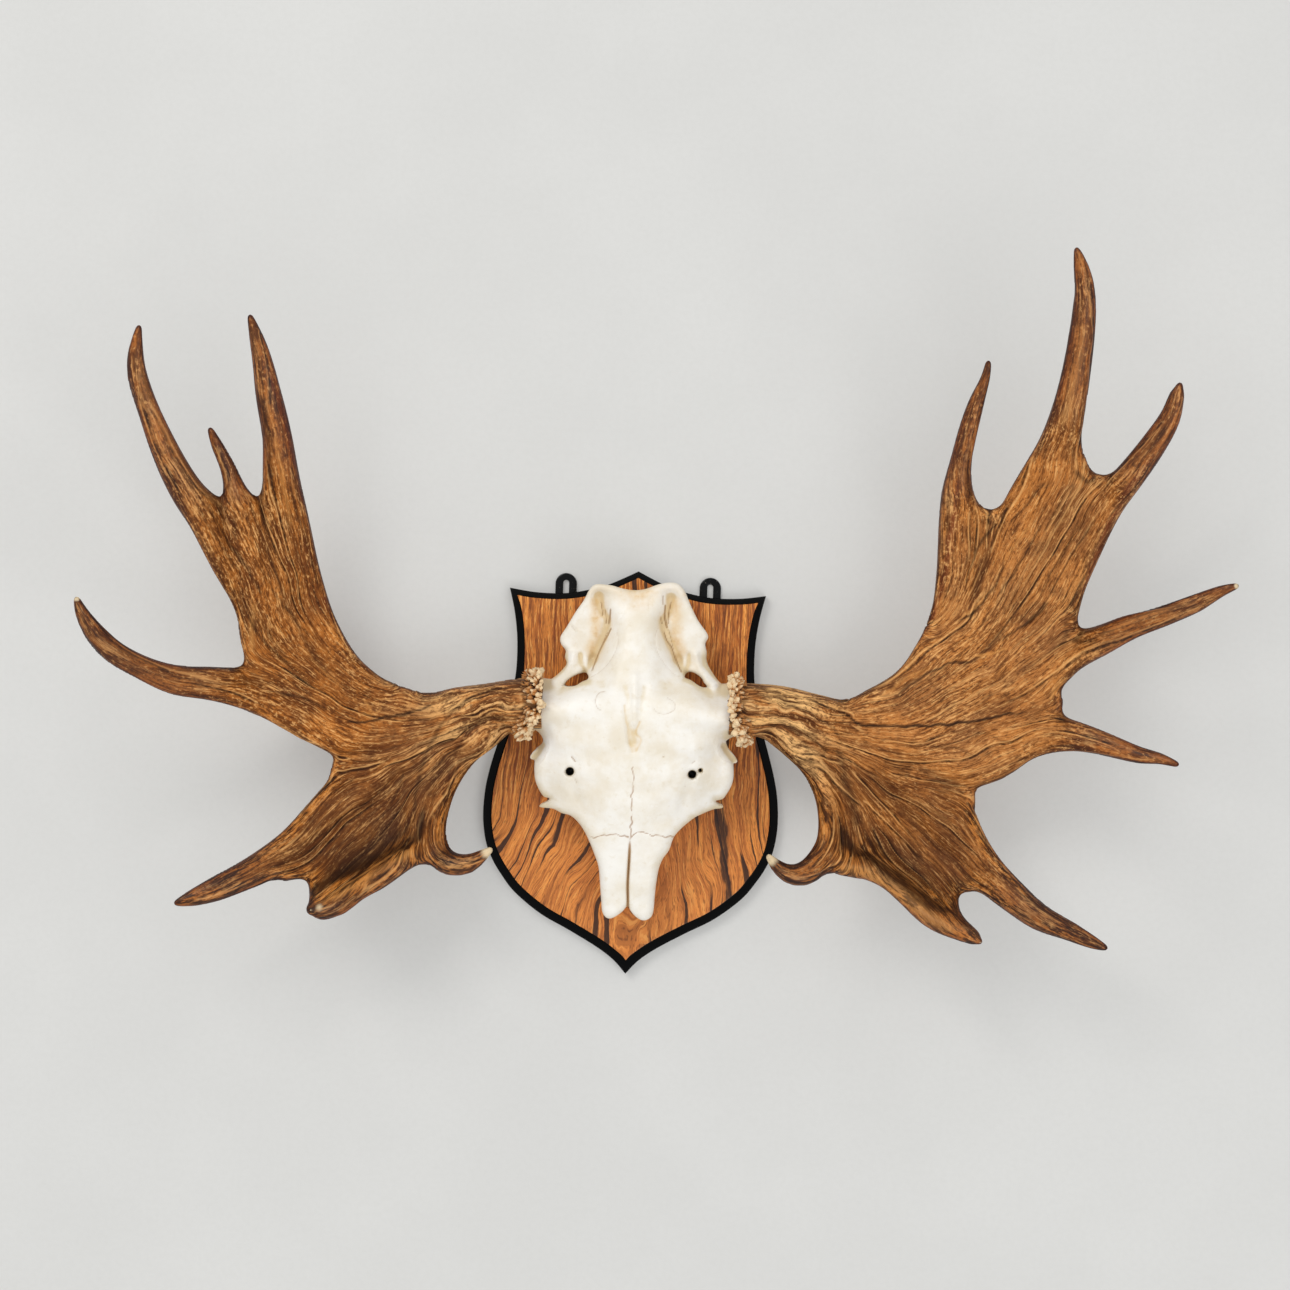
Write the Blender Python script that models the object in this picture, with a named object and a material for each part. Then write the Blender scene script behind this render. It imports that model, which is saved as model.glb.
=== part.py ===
"""Moose antlers with the upper skull, on a shield-shaped wooden board.

The board lies on its back. +Z comes out of the board's face, +Y runs to the board's crest, and +X is
to the right. The origin is the middle of the board's back face. Lengths below are in millimetres.
"""

import math

import bmesh
import bpy
import numpy as np

for old in list(bpy.data.objects):
    bpy.data.objects.remove(old, do_unlink=True)

MM = 0.001
GAP = 0.3

BOARD_THICK = 20.0
BOARD_EDGE = 13.0
BOARD_BEVEL = 9.5

BURR_FACE_LEFT = -93.0
BURR_FACE_RIGHT = 97.0
PEDICLE_GAP = 0.3

HANGER_WIDTH = 22.5
HANGER_THICK = 4.0
HANGER_TOP = 208.0
HANGER_FOOT = 152.0
HANGER_SLOT = 6.0
HANGER_X = (-75.5, 75.7)

ANTLER_VOXEL = 0.003
ANTLER_RATIO = 0.034
SKULL_STEP = 4.7
SKULL_VOXEL = 0.0025
SKULL_RATIO = 0.04

# Half of the board's outline, from the crest's peak round the right side to the bottom tip.
BOARD_HALF = [
    (0, 212), (14, 205), (28, 198.5), (40, 194), (53, 190.8), (70, 187.5), (88, 186.3), (110, 187.2),
    (134, 190.6), (129, 170), (126, 152), (124.4, 134), (124.2, 114), (125.3, 98), (128.5, 78),
    (133, 58), (138, 39), (142.8, 23), (148.3, 3), (152.5, -18), (154.2, -40), (153.5, -58),
    (150, -77), (143.5, -93), (133.5, -109), (118.5, -127.5), (91, -149), (61, -165), (31, -182),
    (13, -195), (0, -209),
]

# Each limb of an antler runs from its tip to the beam: across, up the board, height, half width
# across the palm, and half thickness.
LEFT_LIMBS = {
    "beam": [(-92, 70, 100, 27.5, 26), (-121, 69, 97, 26.5, 25), (-149, 65, 91, 25.5, 24),
             (-177, 56, 85, 30, 22), (-208, 42, 83, 40, 18), (-250, 38, 85, 42, 15)],
    "inner_point": [(-389, 445, 206, 3, 3), (-383, 425, 198, 7, 7), (-378, 402, 188, 10.5, 10),
                    (-372, 366, 172, 14, 12), (-365, 327, 158, 16, 13), (-360, 284, 143, 18.5, 13),
                    (-355, 239, 128, 24, 12), (-345, 189, 116, 25.5, 11), (-330, 139, 103, 27.5, 11),
                    (-301, 95, 92, 27.5, 13), (-254, 63, 86, 26.5, 17), (-208, 49, 84, 28.5, 20)],
    "short_point": [(-427, 334, 190, 3, 3), (-420, 318, 182, 6, 5), (-411, 299, 172, 7.5, 7),
                    (-403, 273, 160, 11.5, 8), (-393, 242, 143, 20, 8), (-385, 198, 127, 24, 8),
                    (-366, 153, 112, 30.5, 9), (-336, 103, 98, 34.5, 11), (-295, 64, 90, 34.5, 14),
                    (-238, 48, 86, 34.5, 17)],
    "long_point": [(-489, 426, 256, 3, 3), (-493, 404, 246, 7, 7), (-492, 381, 236, 9, 9),
                   (-483, 349, 221, 10.5, 10), (-469, 313, 205, 13.5, 11), (-451, 277, 190, 15.5, 12),
                   (-431, 245, 173, 19, 11), (-413, 206, 152, 20, 10), (-392, 162, 130, 21, 9),
                   (-366, 113, 110, 27.5, 10), (-320, 68, 95, 30.5, 12), (-269, 45, 87, 34.5, 16)],
    "outer_point": [(-538, 162, 271, 3, 3), (-534, 149, 262, 6.5, 7), (-525, 131, 248, 10, 10),
                    (-509, 112, 228, 12, 11), (-485, 97, 206, 12.5, 12), (-455, 86, 181, 14, 12),
                    (-423, 83, 158, 15.5, 12), (-396, 79, 139, 18, 11), (-363, 67, 118, 21, 11),
                    (-319, 52, 101, 29.5, 12), (-268, 37, 90, 32.5, 15), (-217, 36, 85, 34.5, 18)],
    "front_point": [(-449, -137, 166, 3, 3), (-434, -132, 161, 8, 7), (-413, -122, 156, 11, 9),
                    (-388, -109, 147, 13, 10), (-364, -96, 135, 16, 10), (-335, -80, 119, 22.5, 9),
                    (-306, -57, 105, 29.5, 9), (-278, -29, 95, 33.5, 10), (-244, 1, 88, 39, 13),
                    (-212, 26, 84, 39, 17)],
    "front_web": [(-305, -125, 166, 11, 9), (-302, -107, 140, 20, 9), (-285, -82, 112, 29.5, 9),
                  (-256, -54, 97, 34.5, 10), (-231, -16, 88, 39, 13), (-202, 23, 85, 37, 18)],
    "front_bay": [(-333, -111, 150, 10, 9), (-316, -84, 124, 22, 9), (-289, -57, 105, 28.5, 9)],
    "front_floor": [(-214, -66, 118, 17, 9), (-216, -40, 104, 24, 9), (-214, 0, 91, 30, 12)],
    "front_rim": [(-313, -138, 177, 6, 6), (-304, -136, 176, 9, 9), (-288, -129, 170, 12.5, 11),
                  (-271, -117, 160, 12, 11), (-253, -105, 150, 12, 11), (-232, -91, 140, 12, 11),
                  (-215, -80, 132, 13, 12), (-201, -74, 124, 15, 12)],
    "brow_point": [(-138, -74, 152, 3, 3), (-147, -81, 148, 6, 5), (-161, -89, 142, 9, 8),
                   (-179, -90, 134, 10.5, 10), (-194, -82, 126, 13, 12), (-202, -64, 116, 15, 12),
                   (-200, -34, 104, 16, 13), (-192, -4, 94, 18.5, 16), (-178, 24, 88, 22.5, 19),
                   (-151, 51, 90, 24.5, 22)],
}

RIGHT_LIMBS = {
    "beam": [(96, 71, 100, 28.5, 26), (125, 72, 97, 26.5, 25), (154, 70, 91, 26.5, 24),
             (185, 62, 85, 30, 22), (222, 52, 83, 36, 18), (265, 48, 88, 42, 15)],
    "inner_point": [(336, 423, 216, 3, 3), (334, 407, 207, 5, 5), (327, 383, 193, 8.5, 8),
                    (321, 355, 179, 10, 10), (318, 325, 165, 12, 11), (318, 294, 152, 17, 11),
                    (324, 261, 140, 24, 11), (329, 216, 127, 28, 10), (329, 171, 113, 31.5, 10),
                    (313, 123, 101, 30.5, 11), (279, 86, 92, 26.5, 14), (239, 65, 86, 26.5, 18)],
    "inner_web": [(351, 276, 151, 14, 9), (348, 240, 138, 26, 9), (342, 190, 121, 30, 9)],
    "tall_point": [(412, 530, 263, 3, 3), (418, 513, 255, 7.5, 7), (422, 488, 243, 10.5, 10),
                   (423, 456, 228, 12.5, 12), (421, 419, 211, 14, 12), (417, 381, 194, 16.5, 13),
                   (410, 342, 177, 21, 12), (398, 298, 158, 29, 10), (380, 248, 140, 34, 9),
                   (357, 197, 124, 38.5, 9), (328, 146, 108, 37, 10), (289, 99, 95, 28, 12),
                   (241, 68, 87, 26, 16)],
    "outer_web": [(446, 312, 187, 17, 9), (434, 279, 170, 26, 9), (416, 234, 148, 28, 8),
                  (396, 183, 128, 32, 8)],
    "hooked_point": [(519, 405, 246, 3, 3), (517, 394, 240, 7.5, 7), (510, 373, 230, 10.5, 9),
                     (497, 349, 217, 12.5, 10), (481, 323, 202, 14, 11), (463, 292, 183, 16, 11),
                     (447, 254, 163, 17, 10), (428, 212, 145, 21, 9), (409, 172, 128, 30, 9),
                     (377, 132, 111, 36.5, 9), (331, 97, 98, 38.5, 10), (277, 72, 89, 36.5, 13)],
    "outer_point": [(576, 211, 269, 3, 3), (563, 207, 262, 5.5, 5), (544, 196, 248, 8.5, 8),
                    (514, 182, 228, 10.5, 10), (484, 170, 207, 12.5, 11), (457, 152, 184, 15, 11),
                    (432, 138, 163, 18, 10), (404, 120, 142, 27, 9), (364, 102, 123, 34.5, 9),
                    (316, 84, 105, 36.5, 10), (266, 65, 92, 36.5, 13)],
    "low_point": [(532, 36, 226, 3, 3), (516, 41, 216, 5.5, 5), (498, 45, 205, 8, 8),
                  (473, 52, 190, 11, 9), (449, 58, 172, 14, 10), (421, 60, 155, 20, 10),
                  (387, 54, 134, 31, 9), (343, 44, 113, 46, 9), (287, 43, 97, 43, 12),
                  (232, 46, 87, 39, 16)],
    "low_web": [(415, 91, 155, 12, 9), (387, 90, 138, 24, 9), (349, 86, 120, 32.5, 9)],
    "front_point": [(476, -150, 176, 3, 3), (463, -145, 171, 6.5, 6), (439, -135, 165, 10, 8),
                    (412, -123, 156, 13, 10), (385, -103, 145, 16, 10), (358, -80, 132, 20, 9),
                    (333, -53, 117, 26.5, 8), (309, -20, 103, 33.5, 9), (273, 11, 92, 38.5, 12),
                    (237, 36, 85, 39, 16)],
    "front_web": [(328, -121, 168, 6, 9), (318, -100, 146, 15, 9), (303, -80, 118, 24.5, 8),
                  (275, -50, 101, 34.5, 8), (246, -15, 91, 38.5, 11), (220, 20, 86, 39, 16)],
    "front_bay": [(335, -92, 140, 12, 9), (319, -72, 118, 24.5, 8)],
    "front_floor": [(222, -58, 120, 18, 9), (227, -34, 106, 24, 9), (230, 2, 92, 32, 11)],
    "front_rim": [(350, -147, 188, 3, 4), (342, -142, 184, 8, 8), (325, -133, 178, 12, 10),
                  (303, -121, 168, 14.5, 11), (281, -104, 158, 14.5, 11), (261, -89, 149, 13.5, 11),
                  (238, -78, 141, 13.5, 11), (217, -74, 133, 13.5, 12), (205, -70, 127, 13.5, 12)],
    "brow_point": [(139, -71, 158, 3, 3), (147, -80, 154, 6, 5), (161, -88, 148, 8.5, 8),
                   (176, -88, 140, 11, 10), (192, -77, 131, 13.5, 12), (205, -57, 120, 15, 12),
                   (206, -24, 106, 15.5, 13), (198, 9, 96, 18.5, 16), (181, 36, 89, 22.5, 19),
                   (155, 59, 91, 24.5, 22)],
}

# The main fork of each antler: the bay between the palms, and the beam's inner edge.
LEFT_FORK = ((-318, -8), (-160, 30))
RIGHT_FORK = ((352, -20), (165, 37))

# The skull's rim seen from above, from the crest round by the left.
SKULL_RIM = [
    (-26, 195), (-42, 196), (-49, 191), (-55, 179), (-63, 167), (-72, 151), (-78, 141), (-77, 133),
    (-72, 127), (-73, 120), (-71, 112), (-86, 97), (-110, 97), (-112, 47), (-100, 44), (-92, 35),
    (-96, 31), (-101, 23), (-106, 15), (-99, 7), (-99, 1), (-97, -13), (-93, -23), (-87, -26),
    (-95, -34), (-80, -36), (-66, -45), (-61, -42), (-51, -51), (-43, -64), (-36, -80), (-31, -94),
    (-29, -112), (-27, -132), (-26, -141), (-22, -147), (-17, -148), (-11, -145), (-4, -139),
    (0, -134), (4, -140), (10, -146), (17, -149), (24, -146), (27, -139), (28, -120), (29, -108),
    (31, -94), (35, -83), (41, -74), (45, -61), (53, -51), (66, -40), (69, -42), (73, -37),
    (96, -31), (87, -25), (96, -23), (104, -12), (107, 2), (106, 16), (102, 27), (97, 37),
    (104, 44), (114, 48), (114, 97), (89, 98), (77, 113), (73, 122), (73, 130), (71, 139),
    (74, 147), (63, 162), (54, 179), (48, 192), (41, 199), (31, 200), (19, 197), (9, 193),
    (-1, 191), (-14, 192),
]

# Heights of the right half of the skull: across, up, top, underside, and radius of the rolled edge.
SKULL_HEIGHTS = [
    (0, 196, 86, 20.3, 5), (22, 198, 90, 20.3, 5), (42, 198, 89, 24, 5), (0, 180, 91, 20.3, 6),
    (0, 160, 97, 20.3, 8), (0, 140, 101, 20.3, 8), (0, 120, 106, 20.3, 8), (0, 100, 112, 20.3, 9),
    (0, 80, 119, 20.3, 10), (0, 58, 123, 20.3, 10), (0, 40, 120, 20.3, 10), (0, 20, 117, 20.3, 10),
    (0, 0, 113, 20.3, 10), (0, -20, 108, 20.3, 10), (0, -40, 101, 20.3, 10), (20, 180, 92, 20.3, 6),
    (21, 160, 98, 20.3, 7), (22, 140, 101, 20.3, 7), (26, 120, 106, 20.3, 7), (38, 103, 108, 22, 8),
    (38, 176, 74, 20.3, 6), (31, 158, 70, 20.3, 6), (33, 146, 68, 20.3, 6), (40, 132, 64, 22, 6),
    (45, 112, 64, 28, 6), (50, 182, 84, 30, 5), (56, 162, 78, 32, 5), (66, 145, 72, 36, 4),
    (55, 140, 74, 30, 5), (72, 134, 66, 42, 4), (60, 124, 68, 40, 5), (68, 114, 64, 44, 5),
    (80, 101, 66, 50, 5), (90, 92, 84, 56, 8), (112, 70, 127, 73, 24), (95, 70, 127, 72, 24),
    (78, 70, 126, 62, 22), (60, 72, 124, 36, 16), (40, 72, 122, 20.3, 10), (60, 92, 112, 40, 10),
    (80, 90, 106, 60, 14), (40, 42, 118, 20.3, 10), (62, 42, 115, 30, 12), (82, 44, 110, 56, 16),
    (96, 36, 96, 62, 12), (98, 20, 84, 58, 6), (94, 8, 88, 48, 8), (80, 12, 100, 32, 10),
    (60, 12, 107, 20.3, 10), (40, 10, 111, 20.3, 10), (20, 10, 114, 20.3, 10), (98, -6, 80, 46, 8),
    (84, -10, 91, 34, 10), (60, -12, 100, 20.3, 10), (40, -16, 104, 20.3, 10), (20, -18, 108, 20.3, 10),
    (92, -22, 70, 42, 6), (76, -24, 83, 32, 9), (58, -30, 90, 26, 9), (40, -36, 96, 20.3, 9),
    (20, -36, 102, 20.3, 9), (90, -32, 58, 42, 4), (70, -37, 70, 38, 5), (52, -46, 80, 32, 8),
    (32, -54, 90, 24, 10), (15, -58, 95, 22, 10), (0, -58, 92, 22, 10), (15, -72, 91, 34, 10),
    (0, -76, 84, 36, 8), (32, -74, 80, 38, 9), (15, -88, 87, 46, 11), (0, -92, 78, 48, 6),
    (28, -92, 76, 48, 9), (15, -104, 82, 50, 12), (0, -108, 73, 50, 5), (28, -112, 68, 50, 10),
    (15, -120, 76, 50, 12), (0, -124, 67, 49, 4), (15, -134, 69, 48, 12), (16, -146, 61, 47, 9),
    (27, -136, 60, 48, 9), (0, -136, 60, 48, 4),
]

# The openings between the temples and the pedicles, and the blood-vessel holes over the eyes:
# across, up, radius, depth.
LEFT_WINDOW = [(-71, 92), (-67, 97), (-60, 102), (-53, 103), (-48, 100), (-53, 96), (-61, 93)]
RIGHT_WINDOW = [(51, 104), (56, 108), (63, 106), (71, 100), (75, 94), (66, 95), (58, 99)]
VESSEL_HOLES = [(-63.0, 4.2, 4.3, 16.0), (61.5, 5.3, 4.3, 16.0), (69.6, 9.6, 1.9, 8.0)]


def material(name, colour, roughness, metallic=0.0):
    made = bpy.data.materials.new(name)
    made.use_nodes = True
    shader = made.node_tree.nodes["Principled BSDF"]
    shader.inputs["Base Color"].default_value = (*colour, 1.0)
    shader.inputs["Roughness"].default_value = roughness
    shader.inputs["Metallic"].default_value = metallic
    return made


def new_object(name, mesh_builder, surface=None):
    """An object whose mesh is the bmesh given, with its normals facing out."""
    mesh = bpy.data.meshes.new(name)
    bmesh.ops.recalc_face_normals(mesh_builder, faces=mesh_builder.faces[:])
    mesh_builder.to_mesh(mesh)
    mesh_builder.free()
    made = bpy.data.objects.new(name, mesh)
    bpy.context.scene.collection.objects.link(made)
    if surface is not None:
        made.data.materials.append(surface)
    return made


def cutter(name, mesh_builder):
    made = new_object(name, mesh_builder)
    made.hide_render = True
    made.display_type = "WIRE"
    return made


def boolean(target, operation, other):
    step = target.modifiers.new(other.name, "BOOLEAN")
    step.operation = operation
    step.solver = "EXACT"
    step.object = other


def soften(target, voxel, rounds, share):
    """Overlapping shapes grown into one skin, worn round, and kept to a modest count of faces."""
    grown = target.modifiers.new("grown", "REMESH")
    grown.mode = "VOXEL"
    grown.voxel_size = voxel
    worn = target.modifiers.new("worn", "SMOOTH")
    worn.factor = 0.5
    worn.iterations = rounds
    fewer = target.modifiers.new("fewer", "DECIMATE")
    fewer.ratio = share


def prism(outline, low, high):
    """A straight-sided block on an outline, between two heights."""
    shape = bmesh.new()
    below = [shape.verts.new((x * MM, y * MM, low * MM)) for x, y in outline]
    above = [shape.verts.new((x * MM, y * MM, high * MM)) for x, y in outline]
    shape.faces.new(below)
    shape.faces.new(above)
    for i in range(len(outline)):
        j = (i + 1) % len(outline)
        shape.faces.new((below[i], below[j], above[j], above[i]))
    return shape


def stack(rings):
    """A closed solid through a list of rings of equal count, with flat ends."""
    shape = bmesh.new()
    loops = [[shape.verts.new([c * MM for c in point]) for point in ring] for ring in rings]
    shape.faces.new(loops[0])
    shape.faces.new(loops[-1])
    for low, high in zip(loops[:-1], loops[1:]):
        for i in range(len(low)):
            j = (i + 1) % len(low)
            shape.faces.new((low[i], low[j], high[j], high[i]))
    return shape


def round_stack(x, y, sections, count=24):
    """A turned solid about a vertical axis: sections are radius and height."""
    turns = [2 * math.pi * i / count for i in range(count)]
    rings = [[(x + r * math.cos(t), y + r * math.sin(t), z) for t in turns] for r, z in sections]
    return stack(rings)


def inset(outline, distance):
    """The outline moved inwards by a distance, with mitred corners. It runs anticlockwise."""
    moved = []
    count = len(outline)
    for i in range(count):
        here = np.array(outline[i], float)
        back = here - np.array(outline[i - 1], float)
        ahead = np.array(outline[(i + 1) % count], float) - here
        back = back / np.linalg.norm(back)
        ahead = ahead / np.linalg.norm(ahead)
        normal_back = np.array((-back[1], back[0]))
        normal_ahead = np.array((-ahead[1], ahead[0]))
        middle = normal_back + normal_ahead
        middle = middle / np.dot(middle, middle) * 2
        moved.append(tuple(here + middle * distance))
    return moved


def curve_through(points, step):
    """The rows interpolated smoothly, about one step apart along the limb."""
    rows = np.array(points, float)
    rows = np.vstack([2 * rows[0] - rows[1], rows, 2 * rows[-1] - rows[-2]])
    found = []
    for a, b, c, d in zip(rows[:-3], rows[1:-2], rows[2:-1], rows[3:]):
        count = max(1, int(round(np.linalg.norm(c[:2] - b[:2]) / step)))
        for t in np.arange(count) / count:
            found.append(0.5 * (2 * b + (c - a) * t + (2 * a - 5 * b + 4 * c - d) * t * t
                                + (3 * b - a - 3 * c + d) * t ** 3))
    found.append(rows[-2])
    return np.array(found)


def limb_tube(shape, rows, samples):
    """A limb with elliptical sections, laid on the surface that its neighbours share."""
    turns = 2 * np.pi * np.arange(14) / 14
    along = np.gradient(rows[:, :2], axis=0)
    along = along / np.linalg.norm(along, axis=1, keepdims=True)
    last = None
    for k, (x, y, z, wide, thick) in enumerate(rows):
        across = wide * np.cos(turns)
        xs = x - along[k, 1] * across
        ys = y + along[k, 0] * across
        zs = shared_height(samples, xs, ys) + thick * np.sin(turns)
        ring = [shape.verts.new((a * MM, b * MM, c * MM)) for a, b, c in zip(xs, ys, zs)]
        if last is None:
            shape.faces.new(ring)
        else:
            for i in range(14):
                j = (i + 1) % 14
                shape.faces.new((last[i], last[j], ring[j], ring[i]))
        last = ring
    shape.faces.new(last)


def shared_height(samples, xs, ys):
    """The height of the palm's middle surface: nearby limb heights, weighted by closeness."""
    reach = 0.55 * samples[:, 3] + 5
    far = (xs[:, None] - samples[:, 0]) ** 2 + (ys[:, None] - samples[:, 1]) ** 2
    weight = np.exp(-far / (2 * reach ** 2)) + 1e-12
    return (weight * samples[:, 2]).sum(axis=1) / weight.sum(axis=1)


def burr(shape, x, y, z, side):
    """The knobbly crown where the antler meets the skull, round the beam's axis."""
    count = 30
    last = None
    first = None
    for depth, radius in ((0, 30), (2, 35), (8, 38), (15, 36.5), (22, 31), (27, 24)):
        ring = []
        for i in range(count):
            turn = 2 * math.pi * i / count
            knob = 1 + 0.055 * math.sin(9 * turn + depth) + 0.04 * math.sin(14 * turn - 2 * depth)
            r = radius * knob
            ring.append(shape.verts.new(((x - side * (depth - 1)) * MM, (y + r * math.cos(turn)) * MM,
                                         (z + 0.92 * r * math.sin(turn)) * MM)))
        if last is None:
            first = ring
        else:
            for i in range(count):
                j = (i + 1) % count
                shape.faces.new((last[i], last[j], ring[j], ring[i]))
        last = ring
    shape.faces.new(first)
    shape.faces.new(last)


def box_along(start, end, near, past, inward):
    """A tall block beside the line from start to end: it begins a distance from the line."""
    a = np.array(start, float)
    b = np.array(end, float)
    way = (b - a) / np.linalg.norm(b - a)
    off = np.array((way[1], -way[0])) * inward
    corners = [a - 260 * way + near * off, b + past * way + near * off,
               b + past * way + 300 * off, a - 260 * way + 300 * off]
    return prism([tuple(c) for c in corners], -20, 420)


def antler(side_name, limbs, fork, face_x, side, bone):
    """One antler: limbs and burr grown together, then parted at its main fork."""
    rows = {name: curve_through(points, 9.0) for name, points in limbs.items()}
    samples = np.vstack(list(rows.values()))
    shape = bmesh.new()
    for row in rows.values():
        limb_tube(shape, row, samples)
    beam = limbs["beam"][0]
    burr(shape, face_x, beam[1], beam[2], -side)
    bmesh.ops.recalc_face_normals(shape, faces=shape.faces[:])
    end = prism([(face_x, -200), (face_x - side * 200, -200), (face_x - side * 200, 400),
                 (face_x, 400)], -50, 400)
    skull_side = cutter("cut_" + side_name + "_skull_side", end)
    inward = -side
    front = cutter("cut_" + side_name + "_front", box_along(*fork, 0.0, 12.0, inward))
    keep = cutter("keep_" + side_name + "_front", box_along(*fork, GAP, 12.0 - GAP, inward))
    for part, operation, tool in (("main", "DIFFERENCE", front), ("front", "INTERSECT", keep)):
        made = new_object("antler_" + side_name + "_" + part, shape.copy(), bone)
        soften(made, ANTLER_VOXEL, 5, ANTLER_RATIO)
        boolean(made, operation, tool)
        if part == "main":
            boolean(made, "DIFFERENCE", skull_side)
    shape.free()


def rim_distance(outline, xs, ys):
    """How far each point lies inside an outline; negative outside."""
    ring = np.array(outline, float)
    ahead = np.roll(ring, -1, axis=0)
    edge = ahead - ring
    px = xs[:, None] - ring[:, 0]
    py = ys[:, None] - ring[:, 1]
    share = np.clip((px * edge[:, 0] + py * edge[:, 1]) / (edge ** 2).sum(axis=1), 0, 1)
    away = np.hypot(px - share * edge[:, 0], py - share * edge[:, 1]).min(axis=1)
    crosses = (ring[:, 1] > ys[:, None]) != (ahead[:, 1] > ys[:, None])
    rise = np.where(edge[:, 1] == 0, 1e-9, edge[:, 1])
    left = px < (ys[:, None] - ring[:, 1]) * edge[:, 0] / rise
    inside = (crosses & left).sum(axis=1) % 2 == 1
    return np.where(inside, away, -away)


def skull_surfaces(xs, ys):
    """Top and underside of the skull: control heights blended by closeness, with rolled edges."""
    table = np.array(SKULL_HEIGHTS, float)
    mirrored = table.copy()
    mirrored[:, 0] = -3 - mirrored[:, 0]
    table = np.vstack([table, mirrored])
    far = (xs[:, None] - table[:, 0]) ** 2 + (ys[:, None] - table[:, 1]) ** 2
    weight = np.exp(-far / (2 * 12 ** 2)) + 1e-14
    top, under, roll = ((weight @ table[:, 2:]) / weight.sum(axis=1, keepdims=True)).T
    depth = np.clip(rim_distance(SKULL_RIM, xs, ys) / roll, 0, 1)
    full = 0.18 + 0.82 * np.sqrt(1 - (1 - depth) ** 2)
    middle = under + 0.4 * (top - under)
    return middle + (top - middle) * full, middle - (middle - under) * full


def skull(bone):
    """The upper skull, sawn flat underneath, cut to its rim from a block with shaped faces."""
    xs = np.arange(-122.3, 123, SKULL_STEP)
    ys = np.arange(-161.2, 210, SKULL_STEP)
    grid_x, grid_y = np.meshgrid(xs, ys)
    top, under = skull_surfaces(grid_x.ravel(), grid_y.ravel())
    across = len(xs)
    shape = bmesh.new()
    layers = []
    for heights in (top, under):
        points = zip(grid_x.ravel(), grid_y.ravel(), heights)
        layers.append([shape.verts.new((x * MM, y * MM, z * MM)) for x, y, z in points])
    for layer in layers:
        for row in range(len(ys) - 1):
            for k in range(row * across, row * across + across - 1):
                shape.faces.new((layer[k], layer[k + 1], layer[k + across + 1], layer[k + across]))
    top_layer, under_layer = layers
    last_row = (len(ys) - 1) * across
    border = [k for k in range(across - 1)]
    border += [across - 1 + row * across for row in range(len(ys) - 1)]
    border += [last_row + k for k in range(across - 1, 0, -1)]
    border += [row * across for row in range(len(ys) - 1, 0, -1)]
    for here, ahead in zip(border, border[1:] + border[:1]):
        shape.faces.new((top_layer[here], top_layer[ahead], under_layer[ahead], under_layer[here]))
    made = new_object("skull", shape, bone)
    boolean(made, "INTERSECT", cutter("keep_skull_rim", prism(SKULL_RIM, 0, 160)))
    soften(made, SKULL_VOXEL, 2, SKULL_RATIO)
    for name, outline in (("left", LEFT_WINDOW), ("right", RIGHT_WINDOW)):
        boolean(made, "DIFFERENCE", cutter("cut_window_" + name, prism(outline, 0, 160)))
    ends = ((BURR_FACE_LEFT + PEDICLE_GAP, -1), (BURR_FACE_RIGHT - PEDICLE_GAP, 1))
    for x, side in ends:
        block = prism([(x, 33), (x + side * 60, 33), (x + side * 60, 106), (x, 106)], 0, 160)
        boolean(made, "DIFFERENCE", cutter("cut_pedicle_end", block))
    for x, y, radius, depth in VESSEL_HOLES:
        surface, _ = skull_surfaces(np.array([x]), np.array([y]))
        low = float(surface[0]) - depth
        hole = round_stack(x, y, [(radius, low), (radius, 150)], 16)
        boolean(made, "DIFFERENCE", cutter("cut_vessel_hole", hole))


def board(wood):
    """The shield: a flat board with a chamfered front edge, and pockets behind for the hangers."""
    right = [(x, y) for x, y in BOARD_HALF]
    left = [(-x, y) for x, y in reversed(BOARD_HALF[1:-1])]
    outline = (right + left)[::-1]
    face = inset(outline, BOARD_BEVEL)
    rings = [[(x, y, 0.0) for x, y in outline], [(x, y, BOARD_EDGE) for x, y in outline],
             [(x, y, BOARD_THICK) for x, y in face]]
    made = new_object("shield", stack(rings), wood)
    for x in HANGER_X:
        half = HANGER_WIDTH / 2 + GAP
        foot = HANGER_FOOT - GAP
        pocket = prism([(x - half, foot), (x + half, foot), (x + half, 215), (x - half, 215)],
                       -5, HANGER_THICK + 0.5)
        boolean(made, "DIFFERENCE", cutter("cut_pocket", pocket))
        pilot = round_stack(x, HANGER_FOOT + 13, [(2.0, 0), (2.0, 14.5)], 16)
        boolean(made, "DIFFERENCE", cutter("cut_pilot", pilot))


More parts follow.
